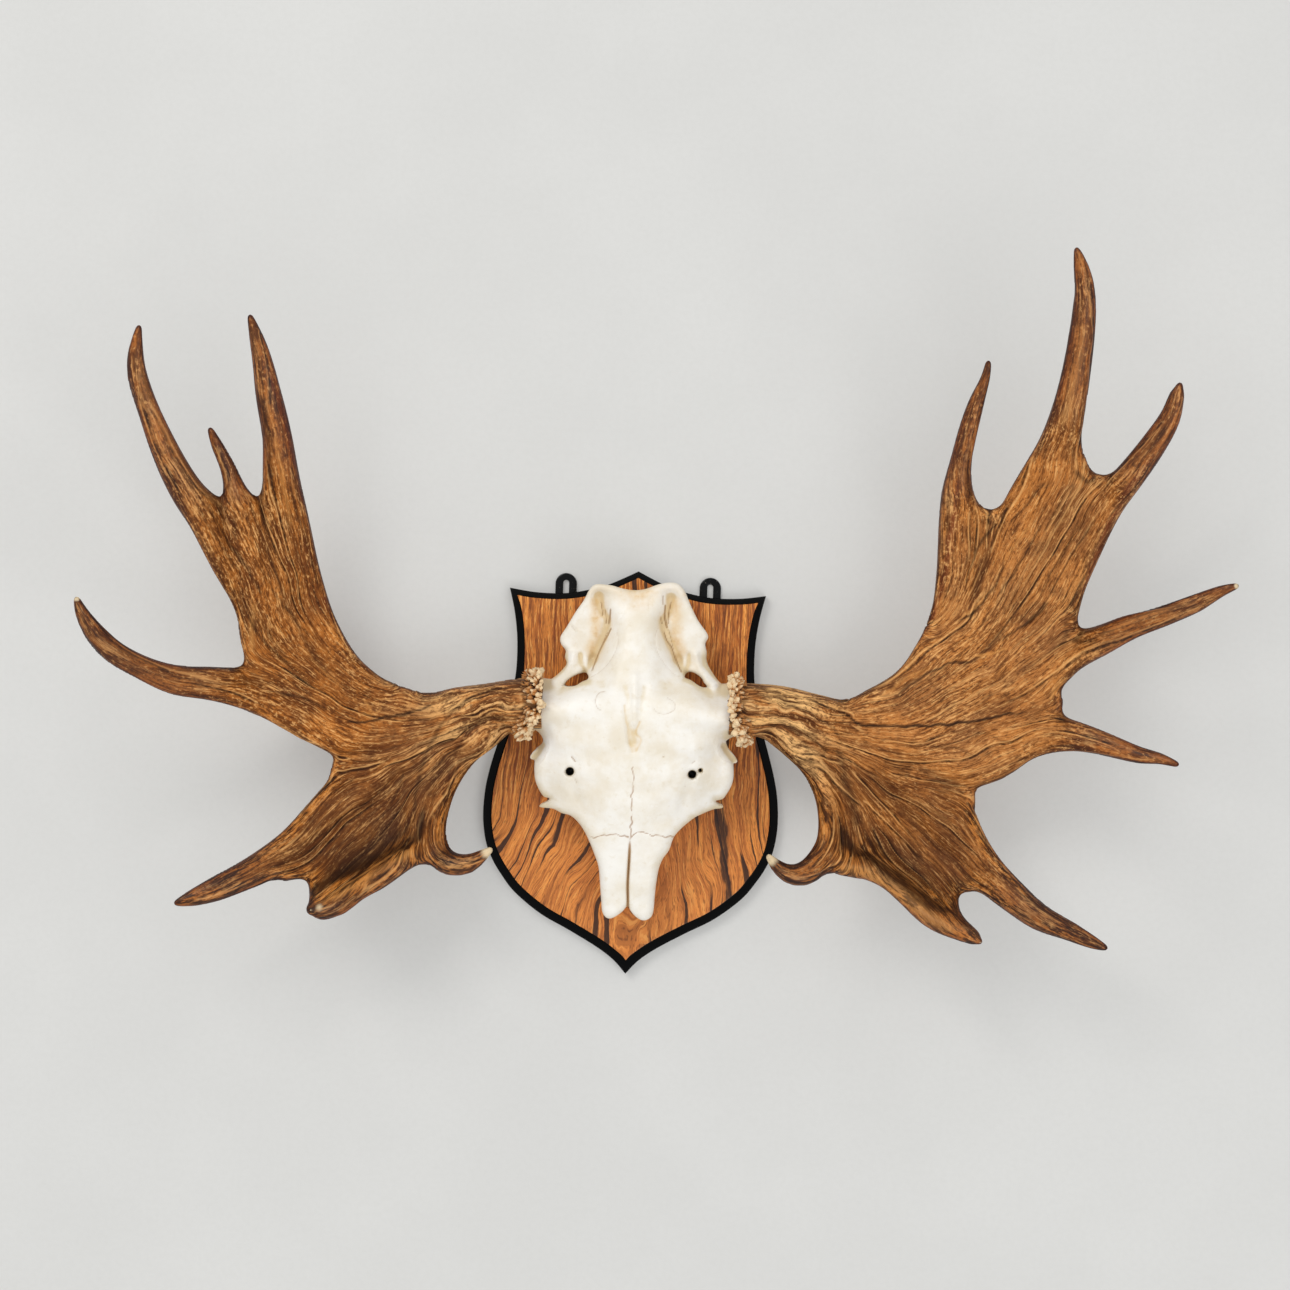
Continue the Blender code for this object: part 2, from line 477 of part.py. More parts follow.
def hangers(black, steel):
    """Two flat slotted hanging loops in the pockets, each held by one countersunk screw."""
    radius = HANGER_WIDTH / 2
    slot = HANGER_SLOT / 2
    for name, x in zip(("left", "right"), HANGER_X):
        arch = [math.pi * i / 14 for i in range(15)]
        centre = HANGER_TOP - radius
        outline = [(x + radius * math.cos(t), centre + radius * math.sin(t)) for t in arch]
        outline += [(x - radius, HANGER_FOOT), (x + radius, HANGER_FOOT)]
        low = 0.2
        high = low + HANGER_THICK
        trimmed = inset(outline, 0.9)
        rings = [[(a, b, low) for a, b in trimmed], [(a, b, low + 0.9) for a, b in outline],
                 [(a, b, high - 0.9) for a, b in outline], [(a, b, high) for a, b in trimmed]]
        made = new_object("hanger_" + name, stack(rings), black)
        half_arch = [math.pi * i / 8 for i in range(9)]
        top = HANGER_TOP - 5.2 - slot
        opening = [(x + slot * math.cos(t), top + slot * math.sin(t)) for t in half_arch]
        opening += [(x + slot * math.cos(t + math.pi), 182 + slot * math.sin(t + math.pi))
                    for t in half_arch]
        boolean(made, "DIFFERENCE", cutter("cut_slot_" + name, prism(opening, -5, 12)))
        screw_y = HANGER_FOOT + 13
        seat = round_stack(x, screw_y, [(5.4, -1), (4.6, 0.2), (2.3, 2.9), (2.3, 8)], 20)
        boolean(made, "DIFFERENCE", cutter("cut_seat_" + name, seat))
        sections = [(3.9, 0.3), (3.9, 0.5), (1.7, 2.9), (1.7, 13.0), (0.4, 14.1)]
        screw = new_object("hanger_screw_" + name, round_stack(x, screw_y, sections, 20), steel)
        blade = prism([(x - 5, screw_y - 0.5), (x + 5, screw_y - 0.5), (x + 5, screw_y + 0.5),
                       (x - 5, screw_y + 0.5)], -1, 1.3)
        boolean(screw, "DIFFERENCE", cutter("cut_blade_" + name, blade))


antler_bone = material("antler", (0.225, 0.105, 0.042), 0.55)
skull_bone = material("skull_bone", (0.82, 0.76, 0.64), 0.5)
board_wood = material("board_wood", (0.33, 0.13, 0.045), 0.35)
black_iron = material("black_hanger", (0.012, 0.011, 0.011), 0.25, 0.6)
screw_steel = material("screw_steel", (0.45, 0.44, 0.42), 0.35, 1.0)

antler("left", LEFT_LIMBS, LEFT_FORK, BURR_FACE_LEFT, -1, antler_bone)
antler("right", RIGHT_LIMBS, RIGHT_FORK, BURR_FACE_RIGHT, 1, antler_bone)
skull(skull_bone)
board(board_wood)
hangers(black_iron, screw_steel)
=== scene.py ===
import math

import bpy
import numpy as np
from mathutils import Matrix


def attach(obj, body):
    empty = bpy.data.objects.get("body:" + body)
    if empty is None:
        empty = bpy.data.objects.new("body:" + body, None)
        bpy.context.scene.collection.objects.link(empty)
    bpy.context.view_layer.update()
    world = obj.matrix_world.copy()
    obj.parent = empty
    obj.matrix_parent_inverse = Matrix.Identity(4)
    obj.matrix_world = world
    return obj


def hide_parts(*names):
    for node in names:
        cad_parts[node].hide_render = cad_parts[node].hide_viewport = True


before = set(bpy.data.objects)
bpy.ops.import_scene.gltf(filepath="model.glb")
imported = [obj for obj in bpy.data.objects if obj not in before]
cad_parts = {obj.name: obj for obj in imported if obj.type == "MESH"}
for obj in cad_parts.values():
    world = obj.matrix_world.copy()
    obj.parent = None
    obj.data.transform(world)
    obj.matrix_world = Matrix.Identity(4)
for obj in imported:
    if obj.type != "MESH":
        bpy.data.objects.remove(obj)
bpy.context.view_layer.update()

# ----------------------------------------------------------------------------------------------
# The room: the object lies on its back on a pale, plain floor, seen from straight above.
# A broad soft light hangs over it, a little towards the crest and the left.
# ----------------------------------------------------------------------------------------------
CAMERA_OVER = (0.0092, 0.1353, 3.15)
CAMERA_TURN = 1.9
SEEN_WIDTH = 1.3545
SENSOR = 36.0
FLOOR_REACH = 6.0

camera_data = bpy.data.cameras.new("camera")
camera_data.sensor_width = SENSOR
camera_data.lens = SENSOR * CAMERA_OVER[2] / SEEN_WIDTH
camera_data.clip_end = 50.0
camera = bpy.data.objects.new("camera", camera_data)
camera.location = CAMERA_OVER
camera.rotation_euler = (0.0, 0.0, math.radians(CAMERA_TURN))
bpy.context.scene.collection.objects.link(camera)
bpy.context.scene.camera = camera
bpy.context.scene.view_settings.view_transform = "Standard"


def soft_light(name, place, aim, size, watts, tint):
    """A square soft light at a place, turned to face a point."""
    data = bpy.data.lights.new(name, "AREA")
    data.shape = "SQUARE"
    data.size = size
    data.energy = watts
    data.color = tint
    lamp = bpy.data.objects.new(name, data)
    way = np.array(aim, float) - np.array(place, float)
    flat = math.hypot(way[0], way[1])
    lamp.location = place
    lamp.rotation_euler = (math.atan2(flat, -way[2]), 0.0, math.atan2(-way[0], way[1]))
    bpy.context.scene.collection.objects.link(lamp)


soft_light("window_light", (-2.4, 3.0, 4.6), (0.0, 0.1, 0.0), 2.2, 105.0, (1.0, 0.99, 0.97))
soft_light("side_light", (2.6, -2.6, 4.6), (0.0, 0.1, 0.0), 2.6, 60.0, (0.97, 0.985, 1.0))

world = bpy.data.worlds.new("room_air")
world.use_nodes = True
air = world.node_tree.nodes["Background"].inputs
air["Color"].default_value = (0.93, 0.95, 0.97, 1.0)
air["Strength"].default_value = 0.83
bpy.context.scene.world = world


class Signal:
    """A number, vector or colour worked out by a finish. The usual signs join signals by nodes."""

    def __init__(self, finish, socket):
        self.finish = finish
        self.socket = socket

    def maths(self, operation, *inputs):
        return self.finish.add("ShaderNodeMath", {"operation": operation}, dict(enumerate(inputs)))

    def __add__(self, other):
        return self.maths("ADD", self, other)

    def __radd__(self, other):
        return self.maths("ADD", other, self)

    def __sub__(self, other):
        return self.maths("SUBTRACT", self, other)

    def __rsub__(self, other):
        return self.maths("SUBTRACT", other, self)

    def __mul__(self, other):
        return self.maths("MULTIPLY", self, other)

    def __rmul__(self, other):
        return self.maths("MULTIPLY", other, self)

    def __abs__(self):
        return self.maths("ABSOLUTE", self)

    def at_least(self, other):
        return self.maths("MAXIMUM", self, other)

    def within(self, low, high, end=1.0, start=0.0):
        """Eased from start at low to end at high, and level beyond them."""
        return self.finish.add("ShaderNodeMapRange", {"interpolation_type": "SMOOTHSTEP"},
                               {0: self, 1: low, 2: high, 3: start, 4: end})

    def part(self, axis):
        """One of the three numbers of a vector."""
        return self.finish.add("ShaderNodeSeparateXYZ", {}, {0: self}, out=axis)

    def stretched(self, x, y, z):
        """A vector with its three numbers multiplied."""
        return self.finish.add("ShaderNodeVectorMath", {"operation": "MULTIPLY"},
                               {0: self, 1: (x, y, z)})


class Finish:
    """A material: a Principled shader, add for any other node, and short names for common ones."""

    def __init__(self, name, **constants):
        self.material = bpy.data.materials.new(name)
        self.material.use_nodes = True
        self.tree = self.material.node_tree
        self.shader = self.tree.nodes["Principled BSDF"]
        for socket, value in constants.items():
            self.shader.inputs[socket.replace("_", " ")].default_value = value

    def add(self, kind, settings, inputs, out=0):
        node = self.tree.nodes.new(kind)
        for key, value in settings.items():
            setattr(node, key, value)
        for key, value in inputs.items():
            if isinstance(value, Signal):
                self.tree.links.new(value.socket, node.inputs[key])
            else:
                node.inputs[key].default_value = value
        return Signal(self, node.outputs[out])

    def place(self):
        return self.add("ShaderNodeTexCoord", {}, {}, out="Object")

    def stored(self, name, out="Vector"):
        """What the mesh holds under a name: out is Vector or Fac."""
        return self.add("ShaderNodeAttribute", {"attribute_name": name}, {}, out=out)

    def cloud(self, where, scale, detail, rough):
        """Soft random noise from 0 to 1."""
        return self.add("ShaderNodeTexNoise", {},
                        {"Vector": where, "Scale": scale, "Detail": detail, "Roughness": rough})

    def vector(self, x, y, z):
        return self.add("ShaderNodeCombineXYZ", {}, {0: x, 1: y, 2: z})

    def coats(self, ground, *layers):
        """A ground colour with others laid over it in order, each by its share from 0 to 1."""
        tone = rgb(*ground)
        for share, colour, *way in layers:
            tone = self.add("ShaderNodeMix",
                            {"data_type": "RGBA", "blend_type": way[0] if way else "MIX"},
                            {0: share, 6: tone, 7: rgb(*colour)}, out=2)
        return tone

    def bump(self, height, distance, strength):
        """A surface raised by height times distance."""
        return self.add("ShaderNodeBump", {},
                        {"Height": height, "Distance": distance, "Strength": strength})

    def wear(self, **signals):
        """Joins signals to the shader's own sockets."""
        for socket, signal in signals.items():
            self.tree.links.new(signal.socket, self.shader.inputs[socket.replace("_", " ")])
        return self.material


def rgb(red, green, blue):
    """A colour given as it looks on a screen, from 0 to 255, as the shader wants it."""
    screen = np.array((red, green, blue), float) / 255
    light = np.where(screen <= 0.04045, screen / 12.92, ((screen + 0.055) / 1.055) ** 2.4)
    return (float(light[0]), float(light[1]), float(light[2]), 1.0)


# The floor glows faintly in its own colour: painted light that lifts the shadows cast on it.
concrete = Finish("floor_concrete", Roughness=0.8, Emission_Strength=0.4)
spot = concrete.place()
patches = concrete.cloud(spot, 3.0, 4.0, 0.6)
grain = concrete.cloud(spot, 160.0, 3.0, 0.6)
tone = concrete.coats(
    (181, 180, 177),
    (patches.within(0.35, 0.65), (184, 183, 180)),
    (grain.within(0.35, 0.7, 0.12), (170, 169, 165)))
concrete.wear(Base_Color=tone, Emission_Color=tone, Normal=concrete.bump(grain, 0.0006, 0.3))

floor_mesh = bpy.data.meshes.new("floor")
corners = ((-1, -1), (1, -1), (1, 1), (-1, 1))
floor_mesh.from_pydata([(FLOOR_REACH * x, FLOOR_REACH * y, 0) for x, y in corners], [], [(0, 1, 2, 3)])
floor = bpy.data.objects.new("floor", floor_mesh)
floor_mesh.materials.append(concrete.material)
bpy.context.scene.collection.objects.link(floor)


# ----------------------------------------------------------------------------------------------
# The shield: a flat board sawn to a heater shape with a peaked crest and two horns. Its face is
# veneered in a striped brown wood, and its bevelled edge and back are lacquered black. Two
# pockets milled in the back take the hanging loops.
# ----------------------------------------------------------------------------------------------
BOARD_CREST = [
    (0, 212), (14, 205), (28, 198.5), (40, 194), (53, 190.8), (70, 187.5), (88, 186.3), (110, 187.2),
    (134, 190.6),
]
BOARD_FLANK = [
    (134, 190.6), (129, 170), (126, 152), (124.4, 134), (124.2, 114), (125.3, 98), (128.5, 78), (133, 58),
    (138, 39), (142.8, 23), (148.3, 3), (152.5, -18), (154.2, -40), (153.5, -58), (150, -77),
    (143.5, -93), (133.5, -109), (118.5, -127.5), (91, -149), (61, -165), (31, -182), (13, -195),
    (0, -209),
]
# The edge's section: how far inside the outline, and height above the back.
BOARD_EDGE = [
    (0.7, 0.0), (0.2, 0.2), (0.0, 0.7), (0.0, 6.5), (0.0, 12.2), (0.3, 12.9), (0.9, 13.5), (4.9, 16.6),
    (8.8, 19.5), (9.3, 19.85), (9.9, 20.0), (10.2, 19.9), (10.3, 19.5),
]
# How wide the bevel is at each height up the board, as a share of its full width.
BEVEL_SHARE = ((-209, -120, 60, 165, 186), (1.0, 0.95, 0.85, 0.8, 0.62))
VENEER_EDGE = [(10.15, 19.4), (10.05, 19.8), (10.3, 20.0), (11.2, 20.0)]
POCKET_WIDTH = 23.1
POCKET_FOOT = 151.7
POCKET_DEEP = 4.5
# The pockets are cut from below the back and run out over the top edge.
POCKET_FROM = -5.0
POCKET_TOP = 215.0
HANGER_X = (-75.5, 75.7)
SCREW_Y = 165.0
# The pilot hole of each screw: radius and height of its mouth and of its end.
PILOT_HOLE = [(2.0, 3.0), (2.0, 14.5)]


def through(points, counts):
    """Points joined by a smooth curve through each of them, with so many steps in each gap."""
    rows = np.array(points, float)
    counts = np.broadcast_to(counts, len(rows) - 1)
    gap = np.repeat(np.arange(len(counts)), counts)
    t = np.concatenate([np.arange(count) / count for count in counts])[:, None]
    rows = np.vstack([2 * rows[0] - rows[1], rows, 2 * rows[-1] - rows[-2]])
    a, b, c, d = (rows[gap + k] for k in range(4))
    curve = 0.5 * (2 * b + (c - a) * t + (2 * a - 5 * b + 4 * c - d) * t * t
                   + (3 * b - a - 3 * c + d) * t ** 3)
    return np.vstack([curve, rows[-2:-1]])


def moved_in(loop, distance):
    """A closed loop of points moved inwards by a distance, or by one each. It runs clockwise."""
    back = loop - np.roll(loop, 1, axis=0)
    ahead = np.roll(loop, -1, axis=0) - loop
    back = back / np.linalg.norm(back, axis=1, keepdims=True)
    ahead = ahead / np.linalg.norm(ahead, axis=1, keepdims=True)
    middle = np.column_stack([back[:, 1] + ahead[:, 1], -back[:, 0] - ahead[:, 0]])
    reach = 2 * np.broadcast_to(distance, len(loop)) / (middle ** 2).sum(axis=1)
    return loop + middle * reach[:, None]


def mirrored(half):
    """The right half of a closed outline, with its left half added. Both ends lie in the middle."""
    return np.vstack([half, half[-2:0:-1] * (-1, 1)])


def lifted(ring, height):
    """A flat outline lifted to a height."""
    return np.column_stack([ring, np.full(len(ring), height)])


def board_ring(distance, height):
    """The board's outline moved in by a distance, less so near the crest: smooth between corners."""
    right = np.array(BOARD_CREST + BOARD_FLANK[1:], float)
    outline = mirrored(right)
    loop = moved_in(outline, distance * np.interp(outline[:, 1], *BEVEL_SHARE))
    loop = np.vstack([loop, loop[:1]])
    horn = len(BOARD_CREST) - 1
    tip = len(right) - 1
    corners = (0, horn, tip, 2 * tip - horn, 2 * tip)
    runs = [through(loop[a:b + 1], 6)[:-1] for a, b in zip(corners[:-1], corners[1:])]
    return lifted(np.vstack(runs), height)


def lofted(rings, cap_start=True, cap_end=True):
    """Closed rings of points, each clockwise seen from the last, skinned in order.

    Each end is closed by a fan round its middle, unless it stays open.
    """
    rings = np.array(rings)
    count, around = rings.shape[:2]
    k = np.arange(count * around).reshape(count, around)
    ahead = np.roll(k, -1, axis=1)
    faces = np.stack((k[:-1], k[1:], ahead[1:], ahead[:-1]), axis=-1).reshape(-1, 4).tolist()
    points = [rings.reshape(-1, 3)]
    if cap_start:
        points.append(rings[:1].mean(axis=1))
        hub = count * around
        faces += [(hub, a, b) for a, b in zip(k[0].tolist(), ahead[0].tolist())]
    if cap_end:
        points.append(rings[-1:].mean(axis=1))
        hub = count * around + int(cap_start)
        faces += [(hub, b, a) for a, b in zip(k[-1].tolist(), ahead[-1].tolist())]
    return np.vstack(points), faces


def placed(name, points, faces, finish, stores=()):
    """A smooth-shaded piece from points in millimetres, with named numbers kept at its points."""
    mesh = bpy.data.meshes.new(name)
    mesh.from_pydata((np.asarray(points) * 0.001).tolist(), [], faces)
    for store, values in stores:
        values = np.asarray(values, np.float32)
        kind, key = ("FLOAT", "value") if values.ndim == 1 else ("FLOAT_VECTOR", "vector")
        mesh.attributes.new(store, kind, "POINT").data.foreach_set(key, values.ravel())
    mesh.materials.append(finish.material)
    mesh.polygons.foreach_set("use_smooth", np.ones(len(mesh.polygons), bool))
    mesh.update()
    piece = bpy.data.objects.new(name, mesh)
    bpy.context.scene.collection.objects.link(piece)
    return piece


def creased(piece, degrees):
    """Edges sharper than an angle stay sharp in the shading."""
    piece.data.set_sharp_from_angle(angle=math.radians(degrees))
    return piece


def milled(piece, cutters):
    """Cutter shapes (points, faces) taken out of a piece for good."""
    for points, faces in cutters:
        tool = placed("cutter", points, faces, black_lacquer)
        cut = piece.modifiers.new("cut", "BOOLEAN")
        cut.operation = "DIFFERENCE"
        cut.solver = "EXACT"
        cut.object = tool
        view = bpy.context.evaluated_depsgraph_get()
        piece.data = bpy.data.meshes.new_from_object(piece.evaluated_get(view))
        piece.modifiers.clear()
        bpy.data.objects.remove(tool)
    return piece


def boxed(low, high):
    """A box between two corners, as rings and caps."""
    (x0, y0, z0), (x1, y1, z1) = low, high
    corners = [(x1, y1), (x1, y0), (x0, y0), (x0, y1)]
    return lofted([[(x, y, z) for x, y in corners] for z in (z0, z1)])


def turned(x, y, sections, count=32):
    """A round shape about an upright axis: (radius, height) sections carried round it."""
    turns = -2 * np.pi * np.arange(count) / count
    circle = np.column_stack([np.cos(turns), np.sin(turns)])
    return lofted([lifted(circle * r + (x, y), z) for r, z in sections])


black_lacquer = Finish("black_lacquer", Roughness=0.2, Specular_IOR_Level=0.05)
spot = black_lacquer.place()
dust = black_lacquer.cloud(spot, 900.0, 2.0, 0.6)
smear = black_lacquer.cloud(spot, 18.0, 3.0, 0.6)
tone = black_lacquer.coats((3, 3, 3), (dust.within(0.62, 0.8), (30, 28, 26)))
black_lacquer.wear(Base_Color=tone, Roughness=smear.within(0.3, 0.7, 0.26, 0.12),
                   Normal=black_lacquer.bump(smear, 0.004, 0.12))

veneer = Finish("striped_veneer", Roughness=0.38, Specular_IOR_Level=0.3)
spot = veneer.place().stretched(1000.0, 1000.0, 1000.0)
across, along = spot.part(0), spot.part(1)
sway = veneer.cloud(veneer.vector(across * 0.014, along * 0.0075, 3.0), 1.0, 2.0, 0.45) - 0.5
ripple = veneer.cloud(veneer.vector(across * 0.06, along * 0.028, 8.0), 1.0, 3.0, 0.55) - 0.5
swell = along.within(110.0, -120.0, 5.5, 1.2)
lean = across.within(-50.0, 60.0, -16.0, 52.0) * along.within(-38.0, -165.0)
rings = (across + lean) * 0.1 + sway * swell + ripple * 0.5
ring = rings.maths("FRACT", rings)
strength = veneer.cloud(veneer.vector(rings * 0.9, along * 0.008, 1.0), 1.0, 2.0, 0.5)
strength = strength + along.within(120.0, -60.0, 0.055, -0.05)
fuzzy = along.within(30.0, -70.0, 0.55, 1.0)
wide = strength.within(0.55, 0.72, 0.4, 0.84)
line = (ring - wide).within(0.0, 0.14) * ring.within(1.0, 0.97)
fibre = veneer.cloud(veneer.vector(rings * 5.0, along * 0.02, 5.0), 1.0, 4.0, 0.7)
band = veneer.cloud(veneer.vector(rings * 1.6, along * 0.008, 11.0), 1.0, 3.0, 0.6)
pores = veneer.cloud(veneer.vector(rings * 16.0, along * 0.12, 7.0), 1.0, 1.0, 0.5)
drift = abs(across - 88.0 + along * 0.14 + ripple * 16.0)
heart = drift.within(5.5, 2.5) * along.within(-14.0, -40.0) * fibre.within(0.3, 0.5, 1.0, 0.5)
tone = veneer.coats(
    (176, 96, 34),
    (band.within(0.34, 0.66), (228, 142, 60)),
    (along.within(40.0, -120.0, 0.45), (222, 138, 70)),
    (fibre.within(0.48, 0.58, 0.75) * fuzzy, (112, 54, 18)),
    (fibre.within(0.46, 0.37, 0.85) * fuzzy, (246, 178, 96)),
    (pores.within(0.56, 0.68, 0.6), (92, 46, 20)),
    (line * strength.within(0.5, 0.58, 0.92), (42, 22, 15)),
    (heart * 0.9, (42, 22, 15)))
veneer.wear(Base_Color=tone, Roughness=fibre.within(0.3, 0.7, 0.45, 0.3),
            Normal=veneer.bump(fibre - pores * 0.5, 0.0003, 0.5))

points, faces = lofted([board_ring(*section) for section in BOARD_EDGE])
shield_core = placed("shield_core", points, faces, black_lacquer)
tools = []
for hanger_x in HANGER_X:
    tools.append(boxed((hanger_x - POCKET_WIDTH / 2, POCKET_FOOT, POCKET_FROM),
                       (hanger_x + POCKET_WIDTH / 2, POCKET_TOP, POCKET_DEEP)))
    tools.append(turned(hanger_x, SCREW_Y, PILOT_HOLE))
creased(milled(shield_core, tools), 32)
points, faces = lofted([board_ring(*section) for section in VENEER_EDGE])
shield_face = creased(placed("shield_face", points, faces, veneer), 40)
for piece in (shield_core, shield_face):
    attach(piece, "root")
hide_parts("shield")
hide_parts("shield")


# ----------------------------------------------------------------------------------------------
# The hanging loops: two flat iron plates with a rounded head and a long slot, enamelled black.
# Each lies in its pocket in the board's back, held by one countersunk steel screw, and its head
# stands out over the top edge.
# ----------------------------------------------------------------------------------------------
HANGER_WIDTH = 22.5
HANGER_TOP = 208.0
HANGER_FOOT = 152.0
SLOT_WIDTH = 6.0
SLOT_ENDS = (182.0, 197.8)
PLATE_AROUND = 144
# The countersunk hole of the screw: radius and height.
SCREW_SEAT = [(5.4, -1.0), (4.6, 0.2), (2.3, 2.9), (2.3, 8.0)]
# The plate's section from its outer edge, as distance inwards and height, then the slot's edge.
HANGER_SECTION = [(1.0, 0.2), (0.3, 0.45), (0.0, 1.1), (0.0, 3.2), (0.3, 3.9), (1.0, 4.2)]


def evened(loop, count):
    """A closed loop of points shared out again at even distances."""
    loop = np.vstack([loop, loop[:1]])
    gone = np.concatenate([[0.0], np.cumsum(np.hypot(*np.diff(loop, axis=0).T))])
    want = np.linspace(0, gone[-1], count, endpoint=False)
    return np.column_stack([np.interp(want, gone, loop[:, k]) for k in (0, 1)])


def hanging_plate(x):
    """The flat loop: a section carried round, stretched between the outer outline and the slot."""
    arch = np.linspace(np.pi / 2, 0, 25)
    radius = HANGER_WIDTH / 2
    centre = HANGER_TOP - radius
    # The outer outline: head, side, corner and sole.
    head = np.column_stack([radius * np.cos(arch), centre + radius * np.sin(arch)])
    foot = np.linspace((radius, centre), (radius, HANGER_FOOT + 1.5), 12)[1:]
    corner = np.array([(radius - 0.5, HANGER_FOOT + 0.4), (radius - 1.5, HANGER_FOOT)])
    sole = np.linspace((radius - 1.5, HANGER_FOOT), (0, HANGER_FOOT), 6)[1:]
    outer = evened(mirrored(np.vstack([head, foot, corner, sole])), PLATE_AROUND)
    # The slot, round at both ends.
    slot = SLOT_WIDTH / 2
    low, high = SLOT_ENDS
    top = np.column_stack([slot * np.cos(arch), high + slot * np.sin(arch)])
    bottom = np.column_stack([slot * np.cos(-arch[::-1]), low + slot * np.sin(-arch[::-1])])
    inner = mirrored(np.vstack([top, np.linspace(top[-1], bottom[0], 10)[1:-1], bottom]))
    inner = evened(inner, PLATE_AROUND)
    # The section runs up the outer edge, over the plate and down the slot's edge.
    way = (inner - outer) / np.linalg.norm(inner - outer, axis=1, keepdims=True)
    rings = [lifted(outer + way * d, z) for d, z in HANGER_SECTION]
    rings += [lifted(inner - way * d, z) for d, z in HANGER_SECTION[::-1]]
    points, faces = lofted(rings + rings[:1], False, False)
    count = len(rings) * PLATE_AROUND
    return points[:count] + (x, 0, 0), (np.array(faces) % count).tolist()


enamel = Finish("black_enamel", Roughness=0.14, Specular_IOR_Level=0.16)
spot = enamel.place()
chips = enamel.cloud(spot, 420.0, 3.0, 0.65)
orange_peel = enamel.cloud(spot, 1100.0, 1.0, 0.5)
tone = enamel.coats((5, 5, 5), (chips.within(0.66, 0.72), (110, 102, 92)))
enamel.wear(Base_Color=tone, Roughness=chips.within(0.4, 0.7, 0.3, 0.12),
            Normal=enamel.bump(orange_peel, 0.0004, 0.25))
for name, hanger_x in zip(("left", "right"), HANGER_X):
    plate = placed("hanger_plate_" + name, *hanging_plate(hanger_x), enamel)
    creased(milled(plate, [turned(hanger_x, SCREW_Y, SCREW_SEAT)]), 40)
    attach(plate, "root")
    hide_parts("hanger_" + name)

steel = Finish("screw_steel", Metallic=1.0, Roughness=0.35)
spot = steel.place()
brushing = steel.cloud(spot.stretched(900.0, 60.0, 900.0), 1.0, 3.0, 0.6)
tone = steel.coats((150, 148, 144), (brushing.within(0.3, 0.7), (196, 194, 190)))
steel.wear(Base_Color=tone, Roughness=brushing.within(0.3, 0.7, 0.45, 0.28),
           Normal=steel.bump(brushing, 0.0001, 0.4))
for name in ("hanger_screw_left", "hanger_screw_right"):
    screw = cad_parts[name]
    screw.data.materials.clear()
    screw.data.materials.append(steel.material)


# ----------------------------------------------------------------------------------------------
# The skull: the sawn upper half of the skull in one bleached, degreased piece, with the crest at
# the back of the head, the temples, the two pedicles that carry the antlers, the eye sockets and
# both nose bones. Its flat sawn underside lies on the face of the board.
# ----------------------------------------------------------------------------------------------
# The skull's rim seen from above, from the crest round by the left.
SKULL_RIM = [
    (-26, 195), (-42, 196), (-49, 191), (-55, 179), (-63, 167), (-72, 151), (-78, 141), (-77, 133),
    (-72, 127), (-73, 120), (-71, 112), (-86, 97), (-103, 96), (-108, 49), (-103, 46.5), (-96, 42.5),
    (-91.3, 35.2), (-93.8, 30.1), (-100, 24.5), (-103.4, 19.8), (-105, 16.2), (-103.5, 14.5),
    (-100.6, 14.2), (-98.4, 15.6), (-99.7, 12.4), (-99.9, 8.3), (-99.6, -0.9), (-98, -9), (-94, -17.9),
    (-89.3, -24.1), (-85.4, -24.5), (-82.8, -25.4), (-85.5, -28.6), (-89.6, -30.5), (-94.8, -33.7),
    (-92.4, -35.4), (-79.6, -35.9), (-70.3, -40.1), (-61, -42), (-51, -51), (-43, -64), (-36, -80),
    (-31, -94), (-29, -112), (-27, -132), (-26, -141), (-22, -147), (-17, -148), (-11, -145), (-4, -139),
    (0, -134), (4, -140), (10, -146), (17, -149), (24, -146), (27, -139), (28, -120), (29, -108),
    (31, -94), (35, -83), (41, -74), (45, -61), (53, -51), (66, -40), (72.3, -36.8), (77.7, -34.3),
    (86.7, -30.8), (94, -30.1), (95.7, -27.3), (89.5, -25.4), (86, -22.1), (90.9, -21.3), (94.9, -19.8),
    (98.4, -14.3), (102.6, -6), (104.2, 1.4), (104.4, 7.7), (103.8, 14.9), (102.8, 18.9), (105.5, 17.2),
    (107.8, 18.4), (107.1, 21.4), (103.4, 26.6), (97.7, 32.9), (94.8, 40), (96, 41), (104, 46),
    (108.5, 50), (105, 97), (89, 98), (77, 113), (73, 122), (73, 130), (71, 139), (74, 147), (63, 162),
    (54, 179), (48, 192), (41, 199), (31, 200), (19, 197), (9, 193), (-1, 191), (-14, 192),
]

